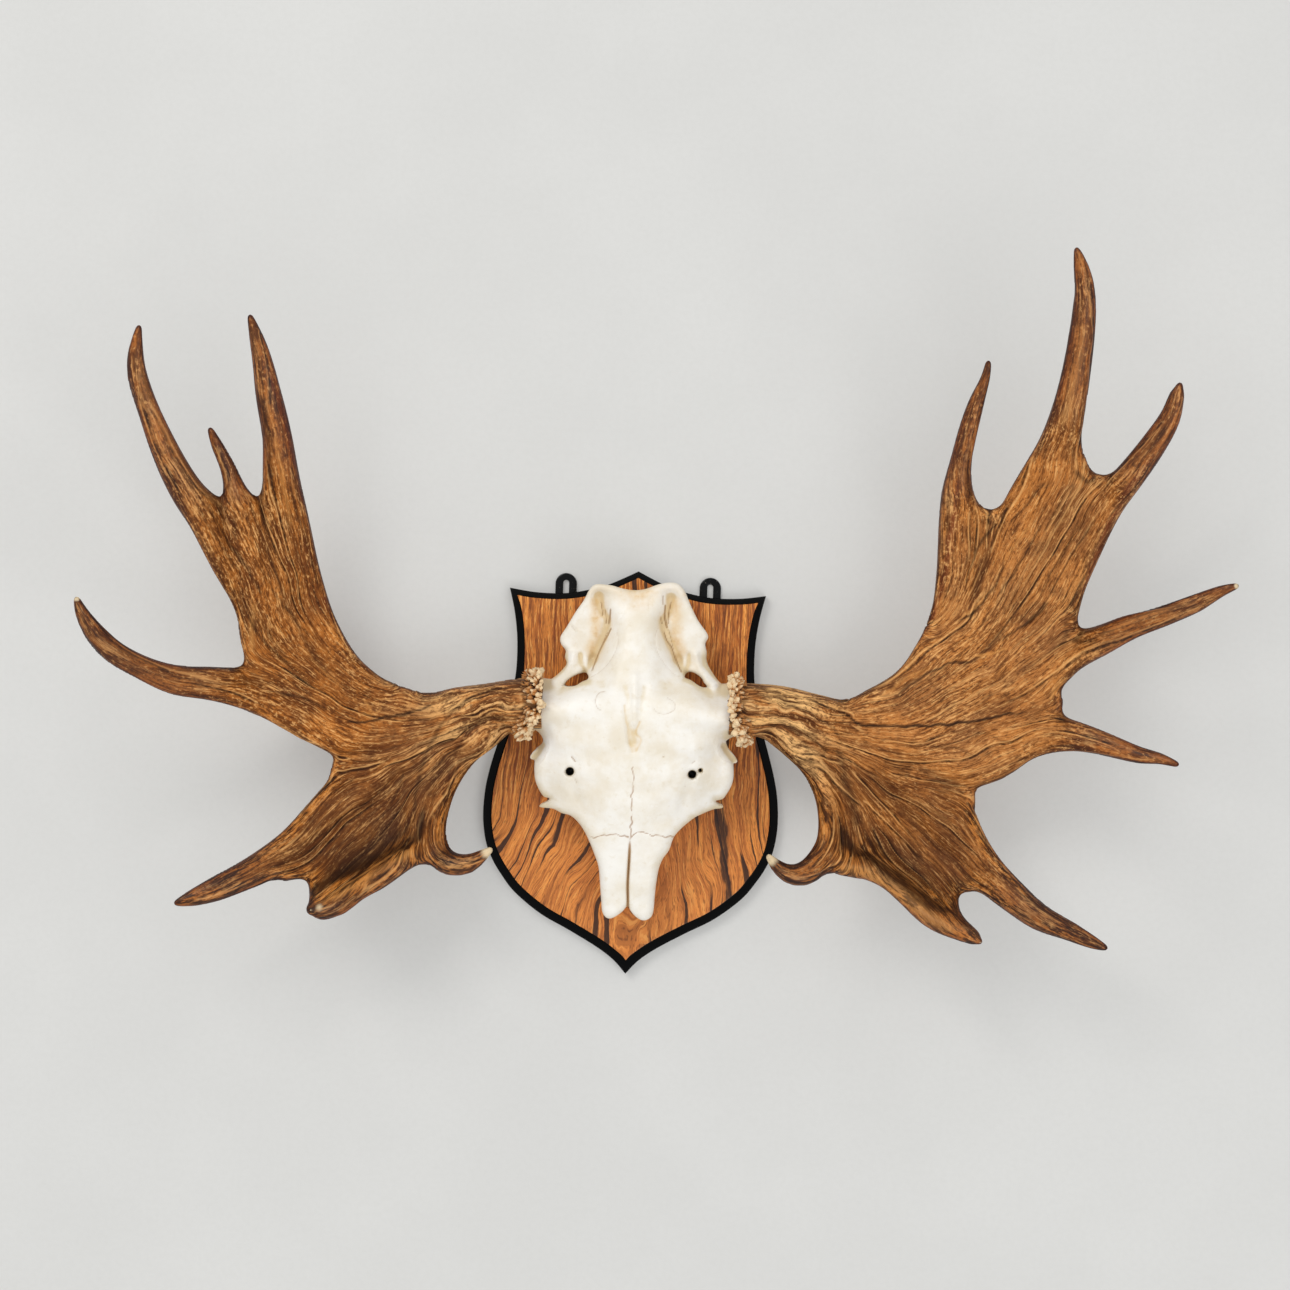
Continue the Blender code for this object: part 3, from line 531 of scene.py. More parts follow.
# Heights of the right half of the skull, mirrored for the left: across, up, top, underside, and
# radius of the rolled edge.
SKULL_HEIGHTS = [
    (0, 196, 86, 20.3, 5), (22, 198, 90, 20.3, 5), (42, 198, 89, 24, 5), (0, 180, 91, 20.3, 6),
    (0, 160, 97, 20.3, 8), (0, 140, 101, 20.3, 8), (0, 120, 106, 20.3, 8), (0, 100, 112, 20.3, 9),
    (0, 80, 119, 20.3, 10), (0, 58, 123, 20.3, 10), (0, 40, 120, 20.3, 10), (0, 20, 117, 20.3, 10),
    (0, 0, 113, 20.3, 10), (0, -20, 108, 20.3, 10), (0, -40, 101, 20.3, 10), (20, 180, 92, 20.3, 6),
    (21, 160, 98, 20.3, 7), (22, 140, 101, 20.3, 7), (26, 120, 106, 20.3, 7), (38, 103, 108, 22, 8),
    (38, 176, 74, 20.3, 6), (31, 158, 70, 20.3, 6), (33, 146, 68, 20.3, 6), (40, 132, 64, 22, 6),
    (45, 112, 64, 28, 6), (50, 182, 84, 30, 5), (56, 162, 78, 32, 5), (66, 145, 72, 36, 4),
    (55, 140, 74, 30, 5), (72, 134, 66, 42, 4), (60, 124, 68, 40, 5), (68, 114, 64, 44, 5),
    (80, 101, 66, 50, 5), (90, 92, 84, 56, 8), (112, 70, 124, 74, 24), (95, 70, 127, 72, 24),
    (78, 70, 126, 62, 22), (60, 72, 124, 36, 16), (40, 72, 122, 20.3, 10), (60, 92, 112, 40, 10),
    (80, 90, 106, 60, 14), (40, 42, 118, 20.3, 10), (62, 42, 115, 30, 12), (82, 44, 110, 56, 16),
    (96, 36, 96, 62, 12), (98, 20, 84, 58, 6), (94, 8, 88, 48, 8), (80, 12, 100, 32, 10),
    (60, 12, 107, 20.3, 10), (40, 10, 111, 20.3, 10), (20, 10, 114, 20.3, 10), (98, -6, 80, 46, 8),
    (84, -10, 91, 34, 10), (60, -12, 100, 20.3, 10), (40, -16, 104, 20.3, 10), (20, -18, 108, 20.3, 10),
    (92, -22, 70, 42, 6), (76, -24, 83, 32, 9), (58, -30, 90, 26, 9), (40, -36, 96, 20.3, 9),
    (20, -36, 102, 20.3, 9), (90, -32, 58, 42, 4), (70, -37, 70, 38, 5), (52, -46, 80, 32, 8),
    (32, -54, 90, 24, 10), (15, -58, 95, 22, 10), (0, -58, 92, 22, 10), (15, -72, 91, 34, 10),
    (0, -76, 84, 36, 8), (32, -74, 80, 38, 9), (15, -88, 87, 46, 11), (0, -92, 78, 48, 6),
    (28, -92, 76, 48, 9), (15, -104, 82, 50, 12), (0, -108, 73, 50, 5), (28, -112, 68, 50, 10),
    (15, -120, 76, 50, 12), (0, -124, 67, 49, 4), (15, -134, 69, 48, 12), (16, -146, 61, 47, 9),
    (27, -136, 60, 48, 9), (0, -136, 60, 48, 4),
]

# The openings between the temples and the pedicles, and the blood-vessel holes over the eyes:
# across, up, radius, depth.
LEFT_WINDOW = [(-73, 91), (-68.5, 97), (-62.6, 101.2), (-56.3, 104), (-50.5, 105), (-47.6, 101.5),
               (-48, 98.3), (-54.5, 95.5), (-60, 91.5), (-67.5, 90.5)]
RIGHT_WINDOW = [(50.4, 103), (51.8, 107), (56.5, 109.3), (62.8, 107.3), (68.6, 103), (71, 98.5),
                (75.5, 94), (69, 94), (63, 97.2), (57.5, 100.9)]
VESSEL_HOLES = [(-63.0, 4.2, 4.3, 16.0), (61.5, 5.3, 4.3, 16.0), (69.6, 9.6, 1.9, 8.0)]


def unit(values):
    """Numbers kept between 0 and 1."""
    return np.clip(values, 0, 1)


def joined(table, i, j, u, v):
    """Between four neighbours of a table of numbers, by closeness; the table repeats endlessly."""
    next_i, next_j = (i + 1) % table.shape[1], (j + 1) % table.shape[0]
    low = (1 - u) * table[j, i] + u * table[j, next_i]
    high = (1 - u) * table[next_j, i] + u * table[next_j, next_i]
    return (1 - v) * low + v * high


def read_grid(field, start_x, start_y, step, xs, ys):
    """A field of numbers on a square grid, read anywhere: its four nearest values by closeness."""
    u = np.clip((xs - start_x) / step, 0, field.shape[1] - 1.001)
    v = np.clip((ys - start_y) / step, 0, field.shape[0] - 1.001)
    i = u.astype(int)
    j = v.astype(int)
    return joined(field, i, j, u - i, v - j)


def blurred(field, sigma):
    """A grid smoothed by a bell curve whose width is sigma grid steps, along rows, then columns."""
    reach = int(3 * sigma) + 1
    bell = np.exp(-np.arange(-reach, reach + 1) ** 2 / (2 * sigma ** 2))
    bell = bell / bell.sum()
    wide = np.pad(field, reach, mode="edge")
    rows = sum(k * wide[:, i:i + field.shape[1]] for i, k in enumerate(bell))
    return sum(k * rows[i:i + field.shape[0]] for i, k in enumerate(bell))


def rolled_grid(depth, start_x, start_y, step, roll, open_side=None):
    """A square grid trimmed to an outline, its points bunched so that the rim rolls over evenly.

    depth is how far each grid point lies inside the outline. A point nearer to the rim than roll
    is moved to roll * (1 - cos turn), where turn = pi / 2 * depth / roll, so that a rim of height
    sin turn has points at even steps round its quarter circle. open_side, -1 or 1, is a side of
    the grid where the outline is cut straight. Returned: x, y, turn, rim or not, grid row and
    column of each point, and the four-sided faces.
    """
    rows, columns = depth.shape
    kept = (depth[:-1, :-1] + depth[1:, :-1] + depth[:-1, 1:] + depth[1:, 1:]) > 0
    near = np.zeros((rows + 1, columns + 1), bool)
    near[1:-1, 1:-1] = kept
    if open_side == -1:
        near[:, 0] = near[:, 1]
    if open_side == 1:
        near[:, -1] = near[:, -2]
    # A point on the rim has faces on some of its four sides, and any other has them on all.
    some = near[:-1, :-1] | near[1:, :-1] | near[:-1, 1:] | near[1:, 1:]
    whole = near[:-1, :-1] & near[1:, :-1] & near[:-1, 1:] & near[1:, 1:]
    j, i = np.nonzero(some)
    number = np.full((rows, columns), -1)
    number[j, i] = np.arange(len(j))
    rim = ~whole[j, i]
    slope_y, slope_x = np.gradient(depth, step)
    x = start_x + step * i
    y = start_y + step * j
    here = (start_x, start_y, step)
    cut = (i == 0) if open_side == -1 else (i == columns - 1) if open_side == 1 else i < 0

    def slopes():
        gx = np.where(cut, 0.0, read_grid(slope_x, *here, x, y))
        gy = read_grid(slope_y, *here, x, y)
        return gx, gy, np.maximum(gx ** 2 + gy ** 2, 0.2)

    # The rim's points are moved to the outline, and the others near it bunch up.
    for _ in range(4):
        gx, gy, steep = slopes()
        d = read_grid(depth, *here, x, y)
        x = np.where(rim, x - np.clip(d * gx / steep, -step, step), x)
        y = np.where(rim, y - np.clip(d * gy / steep, -step, step), y)
    d = np.where(rim, 0.0, np.maximum(read_grid(depth, *here, x, y), 0.02))
    gx, gy, steep = slopes()
    r = read_grid(roll, *here, x, y)
    turn = np.pi / 2 * unit(d / r)
    shift = np.where(rim | (d >= r), 0.0, r * (1 - np.cos(turn)) - d) / np.sqrt(steep)
    x = x + shift * gx
    y = y + shift * gy
    a, b = np.nonzero(kept)
    faces = np.stack((number[a, b], number[a, b + 1], number[a + 1, b + 1], number[a + 1, b]), 1)
    return x, y, turn, rim, j, i, faces


def outward(points, faces):
    """The direction straight out of a surface at each point: the faces round it, added up."""
    corners = points[faces]
    across = np.cross(corners[:, 2] - corners[:, 0], corners[:, 3] - corners[:, 1])
    total = np.zeros_like(points)
    for axis in range(3):
        spread = np.repeat(across[:, axis], 4)
        total[:, axis] = np.bincount(faces.ravel(), spread, len(points))
    return total / np.maximum(np.linalg.norm(total, axis=1, keepdims=True), 1e-9)


def wander(u, v, seed):
    """Random heights from -1 to 1 over a plane: random values at whole numbers, eased between."""
    table = np.random.default_rng(seed).uniform(-1, 1, (128, 128))
    i, j = np.floor(u).astype(int), np.floor(v).astype(int)
    s, t = (w * w * w * (w * (6 * w - 15) + 10) for w in (u - i, v - j))
    return joined(table, i % 128, j % 128, s, t)


def hollow_at(z, i, j, shape, sigma):
    """How far the surface lies below its surroundings, smoothed over sigma grid steps."""
    grid = np.zeros(shape)
    there = np.zeros(shape)
    grid[j, i] = z
    there[j, i] = 1.0
    mean = blurred(grid, sigma) / np.maximum(blurred(there, sigma), 1e-6)
    return mean[j, i] - z


# Marks on the skull's upper face: how far it rises (minus: sinks), half width, stain, and path.
SKULL_MARKS = [
    (-8.5, 6.5, 0.38, [(-40, 184), (-36, 170), (-31, 160), (-32, 148), (-37, 134), (-43, 120)]),
    (-8.5, 6.5, 0.38, [(34, 184), (32, 170), (27, 161), (29, 150), (36, 136), (43, 122)]),
    (-5.0, 4.0, 0.2, [(-43, 120), (-50, 107), (-58, 99)]),
    (-5.0, 4.0, 0.2, [(43, 122), (50, 110), (60, 102)]),
    (2.5, 5.0, 0.3, [(-50, 186), (-40, 191), (-26, 191), (-12, 187), (0, 185.5), (10, 188), (24, 194),
        (38, 194), (47, 188)]),
    (-3.0, 10.0, 0.5, [(-8, 190), (0, 184), (9, 190)]),
    (0, 17.0, 0.35, [(-14, 189), (0, 178), (14, 190)]),
    (0, 9.0, 0.5, [(-43, 178), (-42, 162), (-41, 145), (-45, 128)]),
    (0, 9.0, 0.5, [(38, 180), (40, 162), (41, 146), (46, 130)]),
    (-2.2, 5.0, 0.08, [(-10, 92), (-5, 76), (-3.5, 58), (-0.5, 36)]),
    (-2.0, 5.0, 0.08, [(11, 92), (7.2, 76), (5.5, 58), (2, 38)]),
    (-1.6, 5.5, 0.12, [(-1.5, 50), (0.5, 40), (2, 29)]),
    (-1.3, 1.8, 0.35, [(-9.7, 73.5), (-7.9, 60.6), (-5.5, 52), (-4.3, 41.6), (-0.3, 27)]),
    (-1.2, 1.6, 0.4, [(6.5, 57.6), (2.9, 46.2), (8.4, 39.4), (4, 28)]),
    (0, 5.0, 0.3, [(-2, 48), (3, 38), (1.5, 29)]),
    (2.2, 4.2, 0.0, [(0, 104), (0.6, 80), (1.2, 56)]),
    (-1.5, 6.0, 0.0, [(-58, 12), (-60, -6), (-54, -24)]),
    (-1.5, 6.0, 0.0, [(58, 12), (60, -6), (54, -24)]),
    (-1.3, 1.0, 0.7, [(-61.7, 19.7), (-57.7, 14.8)]),
    (-1.0, 0.9, 0.5, [(-57.5, -3.5), (-55.5, -7.5)]),
    (-1.0, 0.8, 0.6, [(31.2, 22.5), (32.2, 22.4)]),
    (-0.8, 0.9, 0.5, [(60.5, 16.5), (64.0, 19.5)]),
    (-0.7, 0.8, 0.4, [(54.0, -6.5), (55.5, -7.5)]),
    (-0.8, 0.9, 0.5, [(-29.2, 87.2), (-36.1, 84.8), (-38.9, 77.8), (-37.3, 70.9), (-32.9, 67.6)]),
    (-0.7, 0.9, 0.45, [(33.4, 82.8), (40.9, 77.8), (41.1, 70.9), (32.2, 66.3), (23.5, 67.7),
        (19.9, 71.9)]),
    (-1.4, 0.9, 0.75, [(-37.2, 177.5), (-36, 171.6), (-35.2, 164.6)]),
    (-1.2, 0.8, 0.7, [(-33.2, 170.1), (-32, 163.6), (-31.2, 156)]),
    (-1.8, 1, 0.95, [(-27.2, 170.3), (-27.6, 163.7), (-28.4, 156.1)]),
    (-1.8, 0.9, 0.85, [(-26.1, 150.9), (-29.6, 143.2), (-34.2, 134.4), (-38.7, 123.5), (-44.1, 107)]),
    (-1, 0.7, 0.6, [(-30.2, 146.4), (-33.3, 138), (-36.7, 128.9)]),
    (-0.9, 0.8, 0.4, [(-19.9, 147.8), (-18.4, 137), (-21.3, 126.2), (-27.4, 115.3), (-35.7, 106.4),
        (-45.2, 100.7)]),
    (-1.6, 1, 0.45, [(-53.2, 110.3), (-50.5, 104.7), (-47.5, 100.6)]),
    (0, 3.4, 0.5, [(-41.1, 155.1), (-42.5, 142.8), (-42.2, 127.7)]),
    (-0.5, 0.8, 0.3, [(-16.7, 178), (-12.8, 173.8), (-14.1, 165.2), (-18.2, 158.6)]),
    (-1.2, 0.8, 0.4, [(-67.5, 152.9), (-64.9, 149.9), (-62.4, 146.5)]),
    (-1.4, 0.9, 0.7, [(26.1, 186), (26.4, 177.3)]),
    (-1.9, 1, 0.95, [(28.6, 176.4), (28.5, 164.6), (31, 153.8)]),
    (-1.4, 0.9, 0.75, [(34.5, 179.9), (32.2, 166.8), (32, 158.1)]),
    (-1.1, 0.8, 0.8, [(24.1, 164.4), (26, 157.9)]),
    (-1.8, 0.9, 0.85, [(28.5, 148.3), (31.4, 140.8), (36.6, 133.5), (41.2, 121.7), (47.1, 109)]),
    (-1, 0.7, 0.6, [(32.7, 151.7), (35.6, 142.3), (38.7, 132.5)]),
    (-0.9, 0.8, 0.4, [(21.8, 153.4), (18.9, 142.6), (21.5, 129.8), (29.4, 117.1), (39.5, 106.8),
        (47.1, 103.8)]),
    (-0.5, 0.8, 0.3, [(11.4, 172.4), (12.3, 181.1), (15.3, 186.5)]),
    (0, 2.8, 0.5, [(39.3, 147.7), (41.8, 141.5), (44.2, 133.8)]),
    (0, 2.5, 0.35, [(44, 183), (45.5, 177.5)]),
    (-6, 3.6, 0.3, [(-92.8, 29.4), (-95.7, 23.7), (-100.6, 17.4)]),
    (0.8, 1.2, 0.35, [(-86.7, 37.1), (-85.1, 28.7), (-88, 20.4), (-90.5, 14.9), (-95.7, 9.3)]),
    (-6, 3.6, 0.3, [(93.6, 34.6), (97.4, 28.1), (104.3, 21.2)]),
    (0.8, 1.2, 0.35, [(87.4, 41.9), (86.8, 32.6), (88.9, 25.5), (94.4, 20.1), (101.6, 17.5)]),
    (5, 4.5, 0, [(-64.1, 122.6), (-66.3, 112.3), (-72.7, 103.9), (-81.6, 95.4)]),
    (-3, 3, 0.25, [(-56.9, 122.9), (-54.6, 113.7), (-52.8, 106.6)]),
    (5, 4.5, 0, [(61.7, 126.8), (65.1, 116.7), (72.6, 106.7), (81.1, 97.8)]),
    (-3, 3, 0.25, [(54.5, 126.6), (53.8, 117.3), (52.6, 109.1)]),
]
# The seams between the bones of the face, which are drawn finer than the marks.
SKULL_SEAMS = [
    [(0.7, 11.8), (2.1, 0.9), (1.0, -15.7), (0.4, -30.9), (1.7, -35), (1.3, -48.8), (0.4, -62.6)],
    [(-41.8, -62.2), (-33.5, -62.5), (-22.6, -58.8), (-8.7, -59.2), (-1.7, -60.9)],
    [(2.4, -60.7), (6.4, -55.9), (13.3, -55.4), (24.5, -58.6), (38.4, -60.1), (44.5, -59.3)],
]
NOSE_GAP = [(0.4, -60.0), (0.3, -81.3), (-0.1, -95.2), (-0.4, -111.9), (0.3, -128.0), (0.4, -140.0)]
NOSE_GAP_WIDE = 1.5
NOSE_GAP_DEEP = 5.0
# The skull's grid: its corner, how far it reaches up and across, and its step.
SKULL_CORNER = (-134.0, -154.0)
SKULL_SPAN = (360, 270)
SKULL_STEP = 1.3
# Each known height counts over a bell of this width.
HEIGHT_REACH = 12
THINNEST_BONE = 4
SAWN_EDGE = 1.5
WALL_ROWS = 7
# A mark narrower than this is drawn as a crack, and a wider one as a stain.
CRACK_WIDEST = 1.5
# The seams sway to both sides, and the bone between them is uneven: how far, and how finely.
SEAM_SWAY = 1.3
SEAM_DEEP = 0.5
UNEVEN = ((0.5, 0.07, 5), (0.18, 0.22, 6))
# The back of the head: how far up the board it begins, and how far it draws in below the crest.
OCCIPUT_FROM = 176.0
OCCIPUT_EASE = 14.0
OCCIPUT_HOLLOW = 7.0
# The keel down its middle: how much less that draws in, and its half width.
OCCIPUT_KEEL = (0.55, 9.0)
# How far the walls are pressed in on the whole: in places not at all, in others twice as far.
WALL_PRESS = 0.9


def off_line(line, xs, ys):
    """How far each point lies from a line, squared, and how far along the line, from 0 to 1."""
    gone = np.concatenate([[0.0], np.cumsum(np.hypot(*np.diff(line, axis=0).T))])
    gone = gone / gone[-1]
    nearest = np.full(xs.shape, 1e9)
    along = np.zeros(xs.shape)
    for (ax, ay), (bx, by), g, h in zip(line[:-1], line[1:], gone[:-1], gone[1:]):
        ex, ey = bx - ax, by - ay
        share = unit(((xs - ax) * ex + (ys - ay) * ey) / (ex * ex + ey * ey))
        away = (xs - ax - share * ex) ** 2 + (ys - ay - share * ey) ** 2
        along = np.where(away < nearest, g + share * (h - g), along)
        nearest = np.minimum(nearest, away)
    return nearest, along


def polygon_depth(line, xs, ys):
    """How far each point lies inside a closed line; negative outside."""
    crossings = np.zeros(xs.shape, int)
    for (ax, ay), (bx, by) in zip(line[:-1], line[1:]):
        if ay != by:
            crossings += ((ay > ys) != (by > ys)) & (xs - ax < (ys - ay) * (bx - ax) / (by - ay))
    return np.where(crossings % 2 == 1, 1, -1) * np.sqrt(off_line(line, xs, ys)[0])


def bell_along(path, wide, xs, ys):
    """1 on a smooth line through a few places, falling off beside it as a bell."""
    return np.exp(-off_line(through(path, 4), xs, ys)[0] / wide ** 2)


def skull_heights(xs, ys):
    """Top, underside and rim radius of the skull: the table's heights, weighted by closeness."""
    table = np.array(SKULL_HEIGHTS, float)
    table = np.vstack([table, table * (-1, 1, 1, 1, 1) + (-3, 0, 0, 0, 0)])
    far = (xs[:, None] - table[:, 0]) ** 2 + (ys[:, None] - table[:, 1]) ** 2
    weight = np.exp(-far / (2 * HEIGHT_REACH ** 2)) + 1e-14
    return ((weight @ table[:, 2:]) / weight.sum(axis=1, keepdims=True)).T


def skull_points():
    """The skull: an upper face and a sawn underside inside one rim, joined by upright walls.

    The upper face is the table's height plus the marks, less (1 - sin turn) of the rim radius.
    """
    start_x, start_y = SKULL_CORNER
    shape = tuple(int(span / SKULL_STEP) for span in SKULL_SPAN)
    grid_x, grid_y = np.meshgrid(start_x + SKULL_STEP * np.arange(shape[1]),
                                 start_y + SKULL_STEP * np.arange(shape[0]))
    # How deep each place lies inside the rim. The two openings are cut out of it.
    depth = polygon_depth(through(SKULL_RIM + SKULL_RIM[:1], 3), grid_x, grid_y)
    for window in (LEFT_WINDOW, RIGHT_WINDOW):
        depth = np.minimum(depth, -polygon_depth(through(window + window[:1], 4), grid_x, grid_y))
    depth = blurred(depth, 0.8)
    roll = skull_heights(grid_x.ravel(), grid_y.ravel())[2].reshape(shape)
    x, y, turn, _, j, i, quads = rolled_grid(depth, start_x, start_y, SKULL_STEP, roll)
    top, under, roll = skull_heights(x, y)
    # The marks raise or sink the bone, and stain it.
    stain = np.zeros(len(x))
    crack = np.zeros(len(x))
    for rise, wide, tint, path in SKULL_MARKS:
        near = bell_along(path, wide, x, y)
        top = top + rise * near
        if wide < CRACK_WIDEST:
            crack = np.maximum(crack, tint * near)
        else:
            stain = np.maximum(stain, tint * near)
    # The gap between the nose bones deepens on its way down, and the seams sway.
    gap = bell_along(NOSE_GAP, NOSE_GAP_WIDE, x, y)
    top = top - NOSE_GAP_DEEP * gap * unit((-62 - y) / 20)
    seam = gap * unit((-60 - y) / 10)
    bent_x = x + SEAM_SWAY * wander(x * 0.22, y * 0.22, 71)
    bent_y = y + SEAM_SWAY * wander(x * 0.22, y * 0.22, 72)
    for path in SKULL_SEAMS:
        fine = bell_along(path, 1.0, bent_x, bent_y)
        seam = np.maximum(seam, 0.8 * fine)
        top = top - SEAM_DEEP * fine
    for rise, often, seed in UNEVEN:
        top = top + rise * wander(x * often, y * often, seed)
    # The blood-vessel holes: a ground painted near black as the shade inside them, a steep wall and a
    # rounded lip.
    painted_hole_shade = np.zeros(len(x))
    for hx, hy, radius, deep in VESSEL_HOLES:
        away = np.hypot(x - hx, y - hy)
        painted_hole_shade = np.maximum(painted_hole_shade, unit((radius + 0.6 - away) / 1.2))
        top = top - deep * unit((radius + 0.9 - away) / (0.6 * radius))
        top = top - 0.8 * np.exp(-((away - radius) / 2.5) ** 2)
    top = np.maximum(top, under + THINNEST_BONE)
    hollow = hollow_at(top, i, j, shape, 4.0)
    roll = np.minimum(roll, 0.6 * (top - under))
    upper = top - (1 - np.sin(turn)) * roll
    lower = under + (1 - np.sin(turn)) * SAWN_EDGE
    # The walls stand on the edges that only one face of the grid has.
    count = len(x)
    tail = quads.ravel()
    head = np.roll(quads, -1, axis=1).ravel()
    key = np.minimum(tail, head) * count + np.maximum(tail, head)
    _, back, often = np.unique(key, return_inverse=True, return_counts=True)
    lone = often[back] == 1
    tail, head = tail[lone], head[lone]
    edge = np.unique(np.concatenate([tail, head]))
    place_of = np.zeros(count, int)
    place_of[edge] = np.arange(len(edge))
    points = [np.column_stack([x, y, upper]), np.column_stack([x, y, lower])]
    levels = [np.arange(count)]
    for row in range(1, WALL_ROWS):
        share = row / WALL_ROWS
        points.append(np.column_stack([x, y, upper + share * (lower - upper)])[edge])
        levels.append(2 * count + (row - 1) * len(edge) + place_of)
    levels.append(np.arange(count) + count)
    walls = [np.stack([here[head], here[tail], below[tail], below[head]], axis=1)
             for here, below in zip(levels[:-1], levels[1:])]
    faces = np.vstack([quads, quads[:, ::-1] + count] + walls)
    used = np.concatenate([np.arange(count)] * 2 + [edge] * (WALL_ROWS - 1))
    # The marks lie on the upper face alone.
    above = np.arange(len(used)) < count
    marks = np.column_stack([stain, seam, painted_hole_shade])[used] * above[:, None]
    dents = np.column_stack([hollow[used] * above, crack[used] * above,
                             np.minimum(depth[j, i], 30.0)[used]])
    points = np.vstack(points)
    # The walls are pressed in unevenly, and at the back of the head they draw in below the crest.
    uneven = wander(points[:, 2] * 0.07 + points[:, 0] * 0.05,
                    points[:, 2] * 0.05 + points[:, 1] * 0.06, 8)
    pressed = WALL_PRESS - WALL_PRESS * uneven
    share = np.repeat(np.arange(1, WALL_ROWS) / WALL_ROWS, len(edge))
    behind = unit((points[2 * count:, 1] - OCCIPUT_FROM) / OCCIPUT_EASE)
    keel, keel_half = OCCIPUT_KEEL
    middle = 1 - keel * np.exp(-(points[2 * count:, 0] / keel_half) ** 2)
    pressed[:2 * count] = 0
    pressed[2 * count:] += OCCIPUT_HOLLOW * behind * middle * np.sin(np.pi * share ** 0.7)
    points = points - outward(points, faces) * pressed[:, None]
    return points, faces.tolist(), marks, dents


skull_bone = Finish("bleached_bone", Roughness=0.5)
spot = skull_bone.place()
marks = skull_bone.stored("marks")
stain, seam, painted_hole_shade = (marks.part(k) for k in range(3))
dents = skull_bone.stored("dents")
hollow, crack, inside = (dents.part(k) for k in range(3))
cloudy = skull_bone.cloud(spot, 28.0, 4.0, 0.6)
mottle = skull_bone.cloud(spot, 140.0, 3.0, 0.6)
pits = skull_bone.cloud(spot, 620.0, 2.0, 0.55)
strand = skull_bone.cloud(spot.stretched(420.0, 60.0, 200.0), 1.0, 3.0, 0.6)
# Darker and yellower in the hollows: partly stain gathered there, partly painted shade.
hollow_stain_and_shade = (hollow + mottle * 1.2).within(0.8, 3.0, 0.85)
ochre = (stain * (0.55 + mottle * 0.9)).within(0.08, 0.75)
tone = skull_bone.coats(
    (243, 238, 229),
    (cloudy.within(0.3, 0.72), (231, 220, 200)),
    (mottle.within(0.55, 0.75, 0.3), (218, 202, 172)),
    (hollow_stain_and_shade, (216, 196, 156)),
    ((inside + mottle * 6.0).within(8.0, 2.0, 0.4), (206, 184, 144)),
    (ochre * 0.85, (222, 184, 122)),
    (ochre.within(0.6, 1.0, 0.4), (200, 152, 92)),
    (crack.within(0.15, 0.75, 0.75), (156, 116, 74)),
    (seam.within(0.2, 0.8, 0.75), (158, 112, 66)),
    # The vessel holes are painted near black: painted shade inside them.
    (painted_hole_shade.within(0.3, 0.7), (12, 8, 6)))
height = cloudy * 0.5 + mottle * 0.25 + strand * 0.15 - pits * 0.12
skull_bone.wear(Base_Color=tone, Roughness=mottle.within(0.3, 0.7, 0.58, 0.42),
                Normal=skull_bone.bump(height, 0.0016, 0.5))
points, faces, marks_at, dents_at = skull_points()
skull = creased(placed("skull_bleached", points, faces, skull_bone,
                       (("marks", marks_at), ("dents", dents_at))), 60)
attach(skull, "root")
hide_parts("skull")


